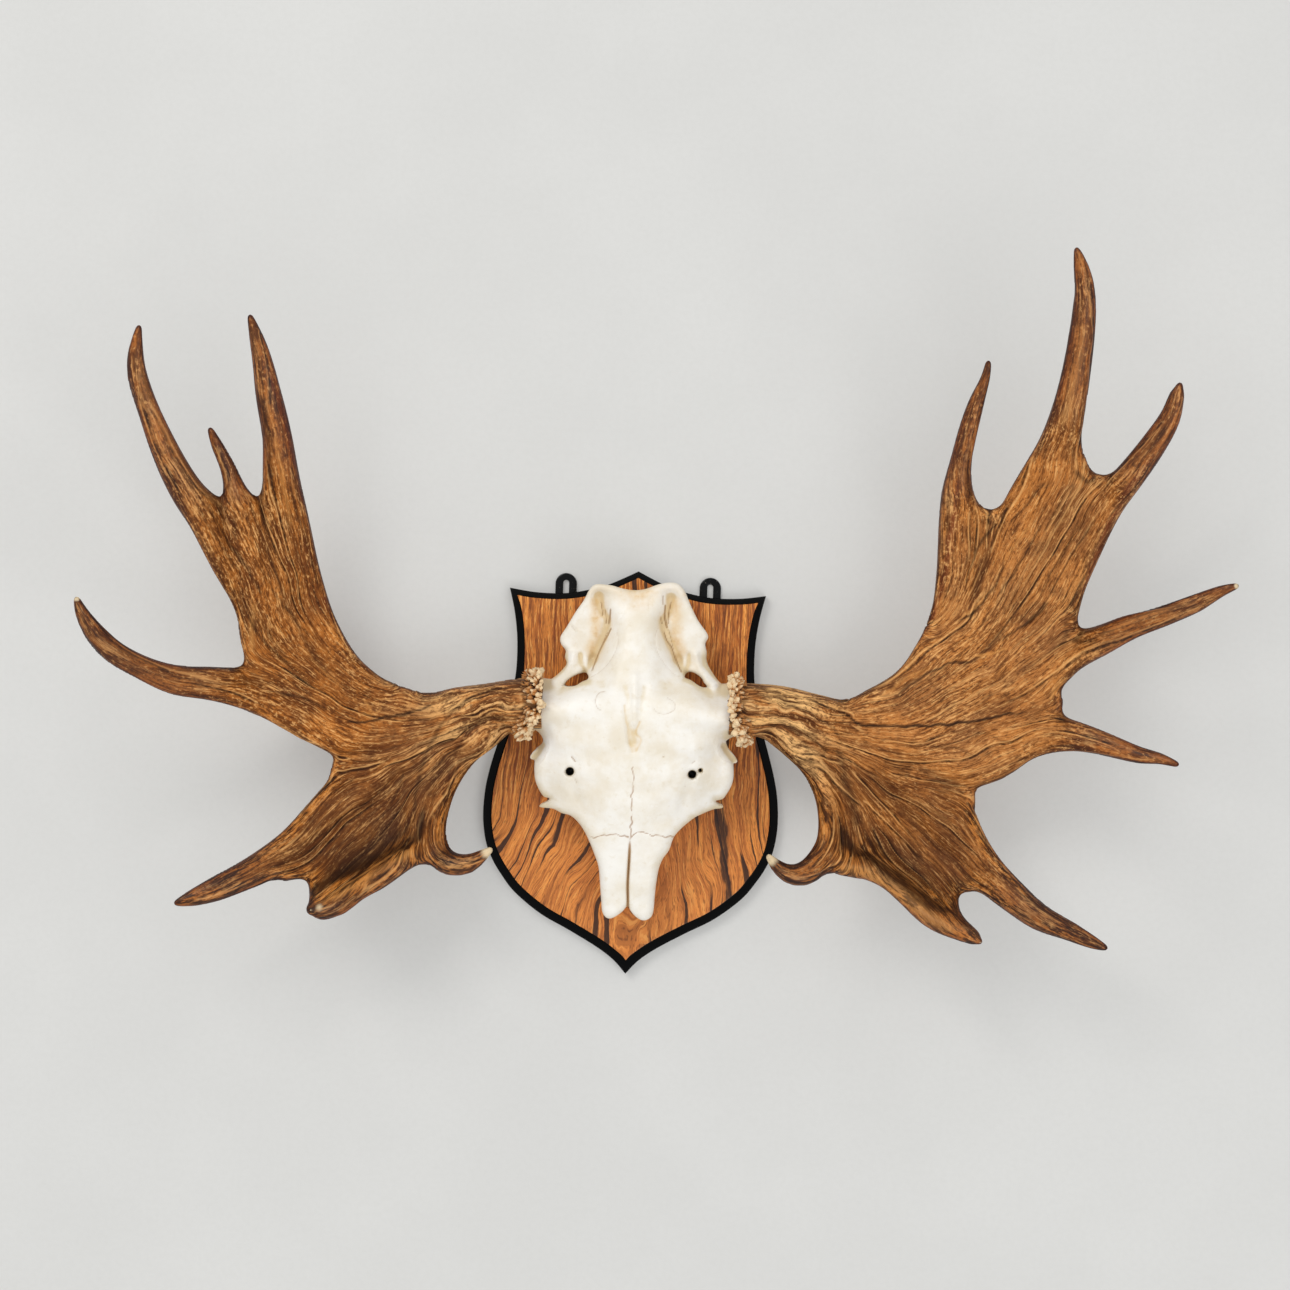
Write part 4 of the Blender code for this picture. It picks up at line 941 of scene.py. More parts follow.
# ----------------------------------------------------------------------------------------------
# The antlers: each is one piece of solid bone grown from a knobbly burr on the skull. The beam
# widens into a main palm and a front palm, and the palms end in points. Furrows left by the
# blood vessels run from the burr along the beam and fan out into the points.
# ----------------------------------------------------------------------------------------------
# The limbs of each antler: rows of across, up, height of the middle, half width
# across the palm, and half thickness.
LEFT_LIMBS = {
    "beam": [(-92, 70, 100, 27.5, 26), (-121, 69, 97, 26.5, 25), (-149, 65, 91, 25.5, 24),
        (-177, 56, 85, 30, 22), (-208, 40, 83, 38, 18), (-250, 37, 85, 41, 15)],
    "inner_point": [(-389, 445, 206, 3, 3), (-383, 425, 198, 7, 7), (-377, 402, 188, 9.8, 10),
        (-371, 366, 172, 13.2, 12), (-364, 327, 158, 15, 13), (-360, 284, 143, 18.5, 13),
        (-355, 239, 128, 24, 12), (-345, 189, 116, 25.5, 11), (-330, 139, 103, 27.5, 11),
        (-300, 93, 92, 26.5, 13), (-254, 60, 86, 26, 17), (-208, 46, 84, 28, 20)],
    "short_point": [(-427, 334, 190, 3, 3), (-420, 318, 182, 6, 5), (-411, 299, 172, 7.5, 7),
        (-403, 273, 160, 11.5, 8), (-393, 242, 143, 20, 8), (-385, 198, 127, 24, 8),
        (-366, 153, 112, 30.5, 9), (-336, 103, 98, 34.5, 11), (-295, 64, 90, 34.5, 14),
        (-238, 48, 86, 34.5, 17)],
    "long_point": [(-489, 426, 256, 3, 3), (-493, 404, 246, 7, 7), (-492, 381, 236, 9, 9),
        (-483, 349, 221, 10.5, 10), (-469, 313, 205, 13.5, 11), (-451, 277, 190, 15.5, 12),
        (-430, 246, 173, 18.5, 11), (-411, 207, 152, 18.5, 10), (-389, 162, 130, 18, 9),
        (-366, 113, 110, 27.5, 10), (-320, 68, 95, 30.5, 12), (-269, 45, 87, 34.5, 16)],
    "outer_point": [(-538, 162, 271, 3, 3), (-534, 149, 262, 6.5, 7), (-525, 131, 248, 10, 10),
        (-509, 112, 228, 12, 11), (-485, 97, 206, 12.5, 12), (-455, 85, 181, 14.8, 12),
        (-423, 82, 158, 16.6, 12), (-396, 78, 139, 19.3, 11), (-363, 67, 118, 21, 11),
        (-319, 52, 101, 29.5, 12), (-268, 37, 90, 32.5, 15), (-217, 36, 85, 34.5, 18)],
    "front_point": [(-449, -137, 166, 3, 3), (-434, -132, 161, 8, 7), (-412, -123, 156, 12, 9),
        (-387, -111, 147, 13.8, 10), (-363, -98, 135, 16.7, 10), (-335, -81, 119, 22, 9),
        (-306, -57, 105, 29.5, 9), (-278, -29, 95, 33.5, 10), (-244, 1, 88, 39, 13),
        (-212, 26, 84, 39, 17)],
    "front_web": [(-305, -125, 166, 11, 9), (-302, -107, 140, 20, 9), (-285, -82, 112, 29.5, 9),
        (-256, -54, 97, 34.5, 10), (-231, -16, 88, 39, 13), (-202, 23, 85, 37, 18)],
    "front_bay": [(-343, -104, 152, 9.5, 9), (-316, -84, 124, 22, 9), (-289, -57, 105, 28.5, 9)],
    "fork_web": [(-284, -5, 94, 23, 10), (-262, 4, 90, 26, 12)],
    "outer_web": [(-381, 93, 132, 14, 10), (-366, 88, 121, 20, 11)],
    "front_floor": [(-214, -66, 118, 17, 9), (-216, -40, 104, 24, 9), (-214, 0, 91, 30, 12)],
    "front_rim": [(-313, -138, 177, 6, 6), (-304, -137, 176, 10.3, 9), (-288, -130, 170, 13.4, 11),
        (-271, -117, 160, 12, 11), (-253, -106, 150, 12.7, 11), (-232, -91, 140, 12, 11),
        (-215, -80, 132, 13, 12), (-201, -74, 124, 15, 12)],
    "brow_point": [(-138, -74, 152, 3, 3), (-147, -81, 148, 6, 5), (-161, -90, 142, 9.7, 8),
        (-179, -91, 134, 11.4, 10), (-194, -82, 126, 13, 12), (-202, -64, 116, 15, 12),
        (-200, -34, 104, 16, 13), (-192, -4, 94, 18.5, 16), (-178, 24, 88, 22.5, 19),
        (-151, 51, 90, 24.5, 22)],
}

RIGHT_LIMBS = {
    "beam": [(96, 71, 100, 28.5, 26), (125, 72, 97, 26.5, 25), (154, 70, 91, 26.5, 24),
        (185, 60.5, 85, 29, 22), (222, 50, 83, 35, 18), (265, 48, 88, 42, 15)],
    "inner_point": [(336, 423, 216, 3, 3), (334, 407, 207, 5, 5), (327, 383, 193, 8.5, 8),
        (321, 355, 179, 10, 10), (317, 325, 165, 11.2, 11), (317, 294, 152, 16.2, 11),
        (324, 261, 140, 24, 11), (329, 216, 127, 28, 10), (329, 171, 113, 31.5, 10),
        (313, 123, 101, 30.5, 11), (279, 86, 92, 26.5, 14), (239, 62, 86, 26, 18)],
    "inner_web": [(347, 267, 150, 15.5, 9), (346, 238, 138, 26, 9), (342, 190, 121, 30, 9)],
    "tall_point": [(412, 530, 263, 3, 3), (418, 513, 255, 7.5, 7), (424, 488, 243, 10.5, 10),
        (425, 456, 228, 12.5, 12), (423, 419, 211, 14, 12), (419, 381, 194, 16.5, 13),
        (412, 342, 177, 21, 12), (398, 298, 158, 29, 10), (380, 248, 140, 34, 9),
        (357, 197, 124, 38.5, 9), (328, 146, 108, 37, 10), (289, 99, 95, 28, 12), (241, 68, 87, 26, 16)],
    "tall_web": [(426, 342, 182, 9, 10), (430, 322, 178, 15, 10), (434, 298, 172, 20, 9)],
    "outer_web": [(450, 300, 183, 18, 9), (436, 272, 168, 26, 9), (416, 234, 148, 28, 8),
        (396, 183, 128, 32, 8)],
    "hooked_point": [(519, 405, 246, 3, 3), (517, 394, 240, 7.5, 7), (512, 372, 230, 10.5, 9),
        (499, 347, 217, 12.5, 10), (483, 321, 202, 14, 11), (463, 292, 183, 16, 11),
        (447, 254, 163, 17, 10), (428, 212, 145, 21, 9), (409, 172, 128, 30, 9), (377, 132, 111, 36.5, 9),
        (331, 97, 98, 38.5, 10), (277, 72, 89, 36.5, 13)],
    "outer_point": [(576, 211, 269, 3, 3), (562, 205.5, 262, 5.5, 5), (543, 194.5, 248, 8.5, 8),
        (513, 180.5, 228, 10.5, 10), (484, 168.5, 207, 12.5, 11), (457, 152, 184, 15, 11),
        (432, 138, 163, 18, 10), (404, 120, 142, 27, 9), (364, 102, 123, 34.5, 9),
        (316, 84, 105, 36.5, 10), (266, 65, 92, 36.5, 13)],
    "low_point": [(532, 36, 226, 3, 3), (516, 41, 216, 5.5, 5), (498, 43.5, 205, 8, 8),
        (473, 50.5, 190, 11, 9), (449, 56.5, 172, 14, 10), (421, 60, 155, 19, 10),
        (389, 57, 134, 27.5, 9), (345, 46, 113, 43, 9), (287, 43, 97, 43, 12), (232, 46, 87, 39, 16)],
    "low_web": [(417, 91, 155, 13.5, 9), (387, 90, 138, 24, 9), (349, 86, 120, 32.5, 9)],
    "front_point": [(476, -150, 176, 3, 3), (463, -145, 171, 6.5, 6), (439, -135, 165, 10, 8),
        (412, -123, 156, 13, 10), (385, -103, 145, 16, 10), (358, -80, 132, 20, 9),
        (333, -53, 117, 26.5, 8), (309, -20, 103, 33.5, 9), (273, 11, 92, 38.5, 12),
        (237, 36, 85, 39, 16)],
    "front_web": [(326, -121, 168, 5.5, 9), (316, -100, 146, 14, 9), (303, -80, 118, 24.5, 8),
        (275, -50, 101, 34.5, 8), (246, -15, 91, 38.5, 11), (220, 20, 86, 39, 16)],
    "front_bay": [(340, -91, 140, 12, 9), (319, -72, 118, 24.5, 8)],
    "fork_web": [(337, -9, 110, 12.5, 10), (318, -4, 106, 22, 10)],
    "hook_web": [(428, 160, 158, 11.5, 10), (414, 152, 146, 16, 10)],
    "front_floor": [(222, -58, 120, 18, 9), (227, -34, 106, 24, 9), (230, 2, 92, 32, 11)],
    "front_rim": [(350, -147, 188, 3, 4), (342, -142, 184, 8, 8), (325, -133, 178, 12, 10),
        (303, -121, 168, 14.5, 11), (281, -102.5, 158, 14, 11), (261, -87.5, 149, 13, 11),
        (238, -78, 141, 13.5, 11), (216, -76, 133, 14.5, 12), (205, -71, 127, 14, 12)],
    "brow_point": [(139, -71, 158, 3, 3), (147, -80, 154, 6, 5), (161, -89, 148, 9.2, 8),
        (176, -89, 140, 11.7, 10), (192, -77, 131, 13.5, 12), (205, -57, 120, 15, 12),
        (206, -24, 106, 15.5, 13), (198, 9, 96, 18.5, 16), (181, 36, 89, 22.5, 19),
        (155, 59, 91, 24.5, 22)],
}

# Strokes that stand out on the upper faces: strength, half width and path. The dark ones are vessel
# grooves and painted shade in hollows, the light ones crests, partly painted highlight, and the rusty
# ones stained edges.
LEFT_SHADES = {
    "dark": [
        (0.9, 6, [(-322, -128), (-287, -101), (-244, -81), (-218, -67), (-213, -52), (-208, -29)]),
        (0.45, 12, [(-306, -108), (-270, -88), (-238, -68), (-222, -44)]),
        (0.3, 10, [(-534, 149), (-509, 112), (-455, 85), (-400, 80)]),
        (0.45, 7, [(-194, -67), (-185, -79), (-173, -86)]),
        (0.3, 10, [(-325, -82), (-365, -103), (-415, -124)]),
        (0.4, 26, [(-222, -40), (-258, -74), (-296, -104)]),
        (0.35, 9, [(-178, 24), (-196, 0), (-206, -30)]),
        (0.8, 1.9, [(-296, 47), (-277, 47), (-264, 50), (-234, 57), (-217, 63), (-198, 72)]),
        (0.5, 3, [(-132, 88), (-167, 74), (-192, 50), (-211, 13), (-220, -30), (-215, -66)]),
        (0.4, 2.2, [(-116, 75), (-144, 62), (-169, 38), (-183, 7), (-188, -29)]),
        (0.6, 2.4, [(-432, 267), (-415, 236), (-396, 206), (-373, 167)]),
        (0.5, 2.0, [(-441, 264), (-422, 230), (-403, 196)]),
        (0.55, 5, [(-379, 374), (-372, 325), (-366, 276)]),
        (0.45, 2, [(-356, 327), (-346, 268), (-336, 208)]),
        (0.45, 6, [(-536, 149), (-521, 123), (-491, 102)]),
        (0.5, 2, [(-488, 96), (-448, 86), (-409, 83), (-379, 84)]),
        (0.35, 12, [(-409, 182), (-388, 152), (-362, 128)]),
        (0.6, 1.8, [(-400, 167), (-377, 128), (-346, 100)]),
        (0.5, 1.7, [(-386, 208), (-360, 168), (-328, 129)]),
        (0.5, 1.8, [(-376, 77), (-337, 71), (-307, 57)]),
        (0.5, 1.7, [(-333, -84), (-298, -57), (-264, -31), (-239, -5)]),
        (0.45, 1.7, [(-361, -102), (-322, -82), (-287, -63)]),
        (0.4, 1.7, [(-258, -61), (-242, -30), (-230, 0)]),
    ],
    "light": [
        (0.6, 4, [(-306, -132), (-279, -121), (-253, -104), (-228, -87), (-212, -75)]),
        (0.5, 3, [(-306, -139), (-292, -122), (-269, -106), (-244, -88), (-224, -74)]),
        (0.5, 1.8, [(-276, 73), (-270, 64), (-264, 55)]),
        (0.5, 1.8, [(-254, 62), (-264, 57), (-279, 56)]),
        (0.4, 6, [(-491, 407), (-480, 358), (-451, 303), (-415, 253)]),
        (0.45, 3, [(-365, 336), (-357, 287), (-349, 237)]),
        (0.35, 3, [(-514, 123), (-474, 101), (-425, 91)]),
        (0.4, 2, [(-341, 129), (-320, 101), (-294, 80)]),
        (0.5, 4, [(-386, 167), (-387, 137), (-389, 112)]),
        (0.55, 2.4, [(-378, 51), (-349, 37), (-323, 15), (-313, -1)]),
        (0.4, 1.6, [(-335, -79), (-300, -52), (-267, -27)]),
    ],
    "rust": [
        (0.7, 4, [(-258, -106), (-243, -97), (-229, -92)]),
        (0.7, 3.5, [(-377, 416), (-356, 347), (-335, 258), (-313, 179)]),
        (0.6, 4, [(-320, 180), (-295, 130), (-263, 95)]),
    ],
}
RIGHT_SHADES = {
    "dark": [
        (0.85, 1.9, [(199, 84), (215, 73), (229, 62), (244, 60), (261, 62), (283, 62), (311, 64), (341,
         69), (370, 77), (396, 82)]),
        (0.65, 1.8, [(260, 88), (281, 104), (300, 118), (318, 126), (344, 129)]),
        (0.65, 1.8, [(322, 168), (339, 179), (353, 197), (363, 218), (367, 241)]),
        (0.6, 1.8, [(366, 150), (384, 164), (399, 175), (414, 194)]),
        (0.45, 1.8, [(265, 40), (287, 43), (311, 42), (330, 41), (357, 32)]),
        (0.45, 1.8, [(339, 59), (354, 57), (374, 51), (398, 51)]),
        (0.45, 9, [(255, 27), (284, 12)]),
        (0.5, 6, [(208, 40), (217, 10), (226, -20), (232, -45)]),
        (0.9, 7.5, [(212, -34), (222, -58), (248, -77), (280, -99), (310, -118), (326, -114)]),
        (0.5, 13, [(237, -63), (273, -86), (304, -104)]),
        (0.25, 14, [(253, -44), (289, -68), (315, -92)]),
        (0.3, 9, [(566, 207), (520, 184), (470, 160), (430, 140)]),
        (0.55, 5, [(432, 156), (444, 154), (458, 155)]),
        (0.4, 7, [(422, 96), (427, 76), (437, 62)]),
        (0.6, 1.8, [(358, 192), (377, 221), (391, 248), (402, 273)]),
        (0.55, 1.8, [(328, 201), (334, 226), (346, 252), (360, 272)]),
        (0.5, 1.8, [(401, 193), (414, 223), (427, 249), (436, 279)]),
        (0.5, 1.8, [(368, 267), (387, 292), (402, 313)]),
        (0.55, 4, [(428, 322), (438, 313), (451, 315)]),
        (0.5, 5, [(323, 349), (322, 320), (329, 290)]),
        (0.45, 5, [(510, 367), (496, 347), (477, 324)]),
        (0.5, 2, [(445, 140), (484, 166), (522, 185)]),
        (0.5, 3, [(138, 84), (169, 76), (195, 63), (216, 40)]),
        (0.45, 2.2, [(129, 68), (154, 60), (177, 36), (190, -6), (200, -47)]),
        (0.5, 1.7, [(278, -13), (309, -34), (340, -62), (361, -83)]),
        (0.45, 1.7, [(252, 6), (288, -13), (324, -34), (350, -56)]),
        (0.5, 2, [(382, -87), (418, -111), (448, -130)]),
    ],
    "light": [
        (0.45, 1.8, [(249, 90), (274, 109), (297, 123)]),
        (0.5, 1.6, [(327, 173), (344, 188), (356, 204)]),
        (0.6, 1.8, [(339, 135), (358, 138), (376, 144)]),
        (0.75, 6, [(207, -79), (237, -87), (262, -98), (285, -114), (308, -130), (334, -139)]),
        (0.5, 3, [(414, 94), (420, 104), (432, 118)]),
        (0.45, 1.6, [(366, 232), (379, 253), (392, 271)]),
        (0.45, 5, [(411, 359), (421, 408), (426, 467)]),
        (0.4, 3, [(452, 155), (491, 178), (539, 197)]),
        (0.4, 1.6, [(272, -3), (309, -24), (340, -51)]),
        (0.5, 2.4, [(373, 6), (355, -10), (350, -31), (360, -56)]),
    ],
    "rust": [
        (0.6, 4, [(316, 321), (311, 250), (303, 190), (279, 134)]),
        (0.6, 4, [(501, 344), (473, 294), (455, 244), (442, 194)]),
    ],
}


ANTLER_STEP = 1.7
ROLL_EVERY = 3
GRID_MARGIN = 12
# The grain is spread over ever finer grids: every how many steps, and how many rounds on each.
FAN_ROUNDS = ((16, 300), (8, 300), (4, 250), (2, 180), (1, 120))
LIMB_SPACING = 9.0
LIMB_MERGE = 8.0
# How far each field is smoothed, in grid steps.
RIM_BLUR = 1.3
CREST_BLUR = 3.5
GRAIN_BLUR = 1.5
SPACING_BLUR = 3.0
LEVEL_BLUR = 14.0
BREADTH_BLUR = 9.0
# The bays between the points are rounded over this many grid steps, looking this far around.
BAY_ROUND = 2.8
BAY_REACH = 14.0
# The depth of places that no limb is near, and how many places are weighed at once.
BEYOND = -30.0
AT_ONCE = 16000
# The ridges that carry the points on across the palm: how much deeper a limb must lie than its
# neighbour to stand up in full, and how far it stands up for each millimetre of that.
RIDGE_FULL = 16.0
RIDGE_RISE = 0.7
# The burr leans: how far out its inner edge stands at each height up the board, and its width.
BURR_LEAN = {"antler_left": [(30, 109), (35, 107), (47, 102.5), (58, 96), (71, 91.5), (100, 94.7),
                             (108, 97)],
             "antler_right": [(34, 115), (44, 107.6), (54, 103), (67, 97), (82, 96), (103, 98),
                              (110, 99)]}
BURR_WIDTH = {"antler_left": 18.0, "antler_right": 12.0}
BURR_RISE = 3.0
# The patterns of the grain: how far apart they lie across it, and how long they are along it.
SWELLS = (24.0, 150.0)
RIDGES = (3.6, 60.0)
BROAD_RIDGES = (8.0, 60.0)
LONG_LINES = (13.0, 190.0)
SHORT_LINES = (5.0, 100.0)
# How far they stand up or sink in, and how much more the ridges do on the beam.
SWELL_RISE = 1.3
GRAIN_RISE = 1.15
BEAM_MORE = 0.6
LINE_SINKS = 0.7
LIP_RISE = 0.35
LIP_OFF = 3.2
LINE_WIDE = 1.8
# How far the ivory shows at the worn tips.
BARE_TIPS = {"brow_point": 13.0, "front_rim": 1.5, "outer_point": 4.0}
# Places where the rim is broken open and pale: across, up, radius.
BARE_SPOTS = [(-305, -135.5, 5.0)]
# The limbs that make up the front palm.
FRONT = ("front_point", "front_web", "front_bay", "front_floor", "front_rim", "brow_point")


def limb_rows(points):
    """The rows of a limb's table joined by a smooth curve, sampled about evenly."""
    gaps = np.linalg.norm(np.diff(np.array(points, float)[:, :2], axis=0), axis=1)
    return through(points, np.maximum(1, np.rint(gaps / LIMB_SPACING).astype(int)))


def inside_limb(start_x, start_y, shape, line):
    """How deep the grid's points lie inside one limb, and on which side of its middle line.

    Depth is the half width at the nearest place on the middle line, less the distance to it.
    """
    depth = np.full(shape, BEYOND)
    side = np.zeros(shape)
    for a, b in zip(line[:-1], line[1:]):
        reach = max(a[3], b[3]) - BEYOND
        left, right = sorted((a[0], b[0]))
        low, high = sorted((a[1], b[1]))
        i0, i1 = (int((v - start_x) / ANTLER_STEP) for v in (left - reach, right + reach))
        j0, j1 = (int((v - start_y) / ANTLER_STEP) for v in (low - reach, high + reach))
        i0, j0 = max(i0, 0), max(j0, 0)
        i1, j1 = min(i1 + 2, shape[1]), min(j1 + 2, shape[0])
        if i1 <= i0 or j1 <= j0:
            continue
        px = start_x + ANTLER_STEP * np.arange(i0, i1)[None, :] - a[0]
        py = start_y + ANTLER_STEP * np.arange(j0, j1)[:, None] - a[1]
        ex, ey = b[0] - a[0], b[1] - a[1]
        share = unit((px * ex + py * ey) / (ex * ex + ey * ey))
        d = a[3] + share * (b[3] - a[3]) - np.hypot(px - share * ex, py - share * ey)
        here = depth[j0:j1, i0:i1]
        deeper = d > here
        side[j0:j1, i0:i1] = np.where(deeper, np.sign(ex * py - ey * px), side[j0:j1, i0:i1])
        depth[j0:j1, i0:i1] = np.where(deeper, d, here)
    return depth, side


def fanned(label, fixed):
    """Numbers spread evenly between the places where they are fixed, from coarse to fine.

    Each free point takes the mean of its four neighbours, again and again.
    """
    value = np.zeros((1, 1))
    for coarse, rounds in FAN_ROUNDS:
        target = label[::coarse, ::coarse]
        held = fixed[::coarse, ::coarse]
        value = np.repeat(np.repeat(value, 2, axis=0), 2, axis=1)
        grow = [(0, max(0, n - m)) for n, m in zip(target.shape, value.shape)]
        value = np.pad(value, grow, mode="edge")[:target.shape[0], :target.shape[1]]
        for _ in range(rounds):
            wide = np.pad(value, 1, mode="edge")
            mean = (wide[:-2, 1:-1] + wide[2:, 1:-1] + wide[1:-1, :-2] + wide[1:-1, 2:]) / 4
            value = np.where(held, target, mean)
    return value


def shared(samples, columns, xs, ys, width_share, width_more):
    """What the nearby limbs say at each place, weighted by closeness over a share of their width."""
    found = np.empty((len(xs), len(columns)))
    reach = width_share * samples[:, 3] + width_more
    for k in range(0, len(xs), AT_ONCE):
        part = slice(k, k + AT_ONCE)
        far = (xs[part, None] - samples[:, 0]) ** 2 + (ys[part, None] - samples[:, 1]) ** 2
        weight = np.exp(-far / (2 * reach ** 2)) + 1e-12
        found[part] = weight @ samples[:, columns] / weight.sum(axis=1, keepdims=True)
    return found.T


def furrows(psi, phi, octave, across, along, seed):
    """Random heights drawn out along the grain, about one every `across` millimetres.

    The grain lines lie further apart where the bone is broad, so each place uses the two
    doublings of the pattern that suit its own spacing, in proportion.
    """
    total = np.zeros_like(psi)
    for k in range(-2, 5):
        weight = unit(1 - np.abs(octave - k))
        total += weight * wander(psi * 2.0 ** k / across + 17 * k, phi / along + 9 * k, seed + k)
    return total


def stroke(path, half, xs, ys):
    """A line drawn through a few places: 1 on it, falling off as a bell, and narrower at its ends."""
    off, along = off_line(through(path, 4), xs, ys)
    wide = half * (0.4 + 0.6 * np.sqrt(np.sin(np.pi * unit(along))))
    return np.exp(-off / wide ** 2) * np.clip(12 * along * (1 - along), 0.15, 1)


def shades_at(table, xs, ys, seed):
    """The dark, pale and rusty strokes of a table at each place, and how far they lift the bone."""
    bent_x, bent_y = (
        at + 1.2 * wander(xs / 11, ys / 11, first) + 0.5 * wander(xs / 4, ys / 4, first + 1)
        for at, first in ((xs, seed), (ys, seed + 2)))
    lift = np.zeros(len(xs))
    found = []
    for kind, sign in (("dark", -1), ("light", 1), ("rust", 0)):
        shade = np.zeros(len(xs))
        for amount, half, path in table[kind]:
            low = np.min(path, axis=0) - 3 * half - 3
            high = np.max(path, axis=0) + 3 * half + 3
            near = (xs > low[0]) & (xs < high[0]) & (ys > low[1]) & (ys < high[1])
            mark = amount * stroke(path, half, bent_x[near], bent_y[near])
            shade[near] = np.maximum(shade[near], mark)
            lift[near] += sign * mark * (1.0 if half < 3 else 0.1 * half)
        found.append(shade)
    return np.column_stack(found), lift


def grain_lines(psi, phi, octave, across, along, seed):
    """The distance to the nearest long line along the grain, and how strongly it shows.

    The lines are where a drawn-out random height passes through zero; the distance is that
    height over its slope across the grain, with its sign.
    """
    here = furrows(psi, phi, octave, across, along, seed)
    nudge = 0.5
    slope = (furrows(psi + nudge / 2.0 ** octave, phi, octave, across, along, seed) - here) / nudge
    steep = np.abs(slope) * across
    return np.clip(here / np.maximum(np.abs(slope), 0.02), -9, 9), unit(1.5 * steep - 0.4)


def limb_fields(lines, rims, main, start_x, start_y, shape):
    """What the limbs make together, at each place of the grid.

    Returned: how deep it lies inside the outline, how far the main limbs stand over the palm,
    psi, octave and breadth. psi numbers the grain lines, which lie 2 ** octave millimetres apart.
    """
    # The deepest and second deepest limb at each place, and which rim of the deepest is nearer.
    first = np.full(shape, BEYOND)
    second = np.full(shape, BEYOND)
    label = np.zeros(shape)
    on_main = np.zeros(shape, bool)
    for key, line in lines.items():
        depth, which = inside_limb(start_x, start_y, shape, line)
        newer = depth > first
        second = np.where(newer, first, np.maximum(second, depth))
        first = np.where(newer, depth, first)
        label = np.where(newer, np.where(which > 0, *rims[key]), label)
        on_main = np.where(newer, key in main, on_main)
    crest = blurred(np.where(on_main, np.clip(first - second, 0, RIDGE_FULL), 0.0), CREST_BLUR)
    depth = first + np.maximum(LIMB_MERGE - (first - second), 0) ** 2 / (4 * LIMB_MERGE)
    depth = blurred(depth, RIM_BLUR)
    depth = np.maximum(depth, blurred(np.clip(depth, -BAY_REACH, BAY_REACH), BAY_ROUND))
    psi = blurred(fanned(label, depth < 0.4), GRAIN_BLUR)
    slope_y, slope_x = np.gradient(psi, ANTLER_STEP)
    octave = np.clip(-np.log2(np.hypot(slope_x, slope_y) + 1e-4), -2, 3)
    within = (depth > 2.5) + 1e-4
    octave = blurred(octave * within, SPACING_BLUR) / blurred(within, SPACING_BLUR)
    crest = crest - blurred(crest * within, LEVEL_BLUR) / blurred(within, LEVEL_BLUR)
    return depth, crest, psi, octave, blurred(np.maximum(depth, 0), BREADTH_BLUR)


def limb_samples(lines, foot):
    """The rows of all limbs. Added to each: the way from the burr, rim radius, front palm or not."""
    table = []
    for key, line in lines.items():
        if key == "beam":
            gone = np.hypot(*(line[:, :2] - foot).T)
        else:
            gaps = np.hypot(*np.diff(line[:, :2], axis=0).T)
            gone = np.concatenate([np.cumsum(gaps[::-1])[::-1], [0.0]])
            gone = gone + np.hypot(*(line[-1, :2] - foot))
        roll = np.minimum(line[:, 3], 1.1 * line[:, 4])
        table.append(np.column_stack([line, gone, roll, np.full(len(line), float(key in FRONT))]))
    return np.vstack(table)


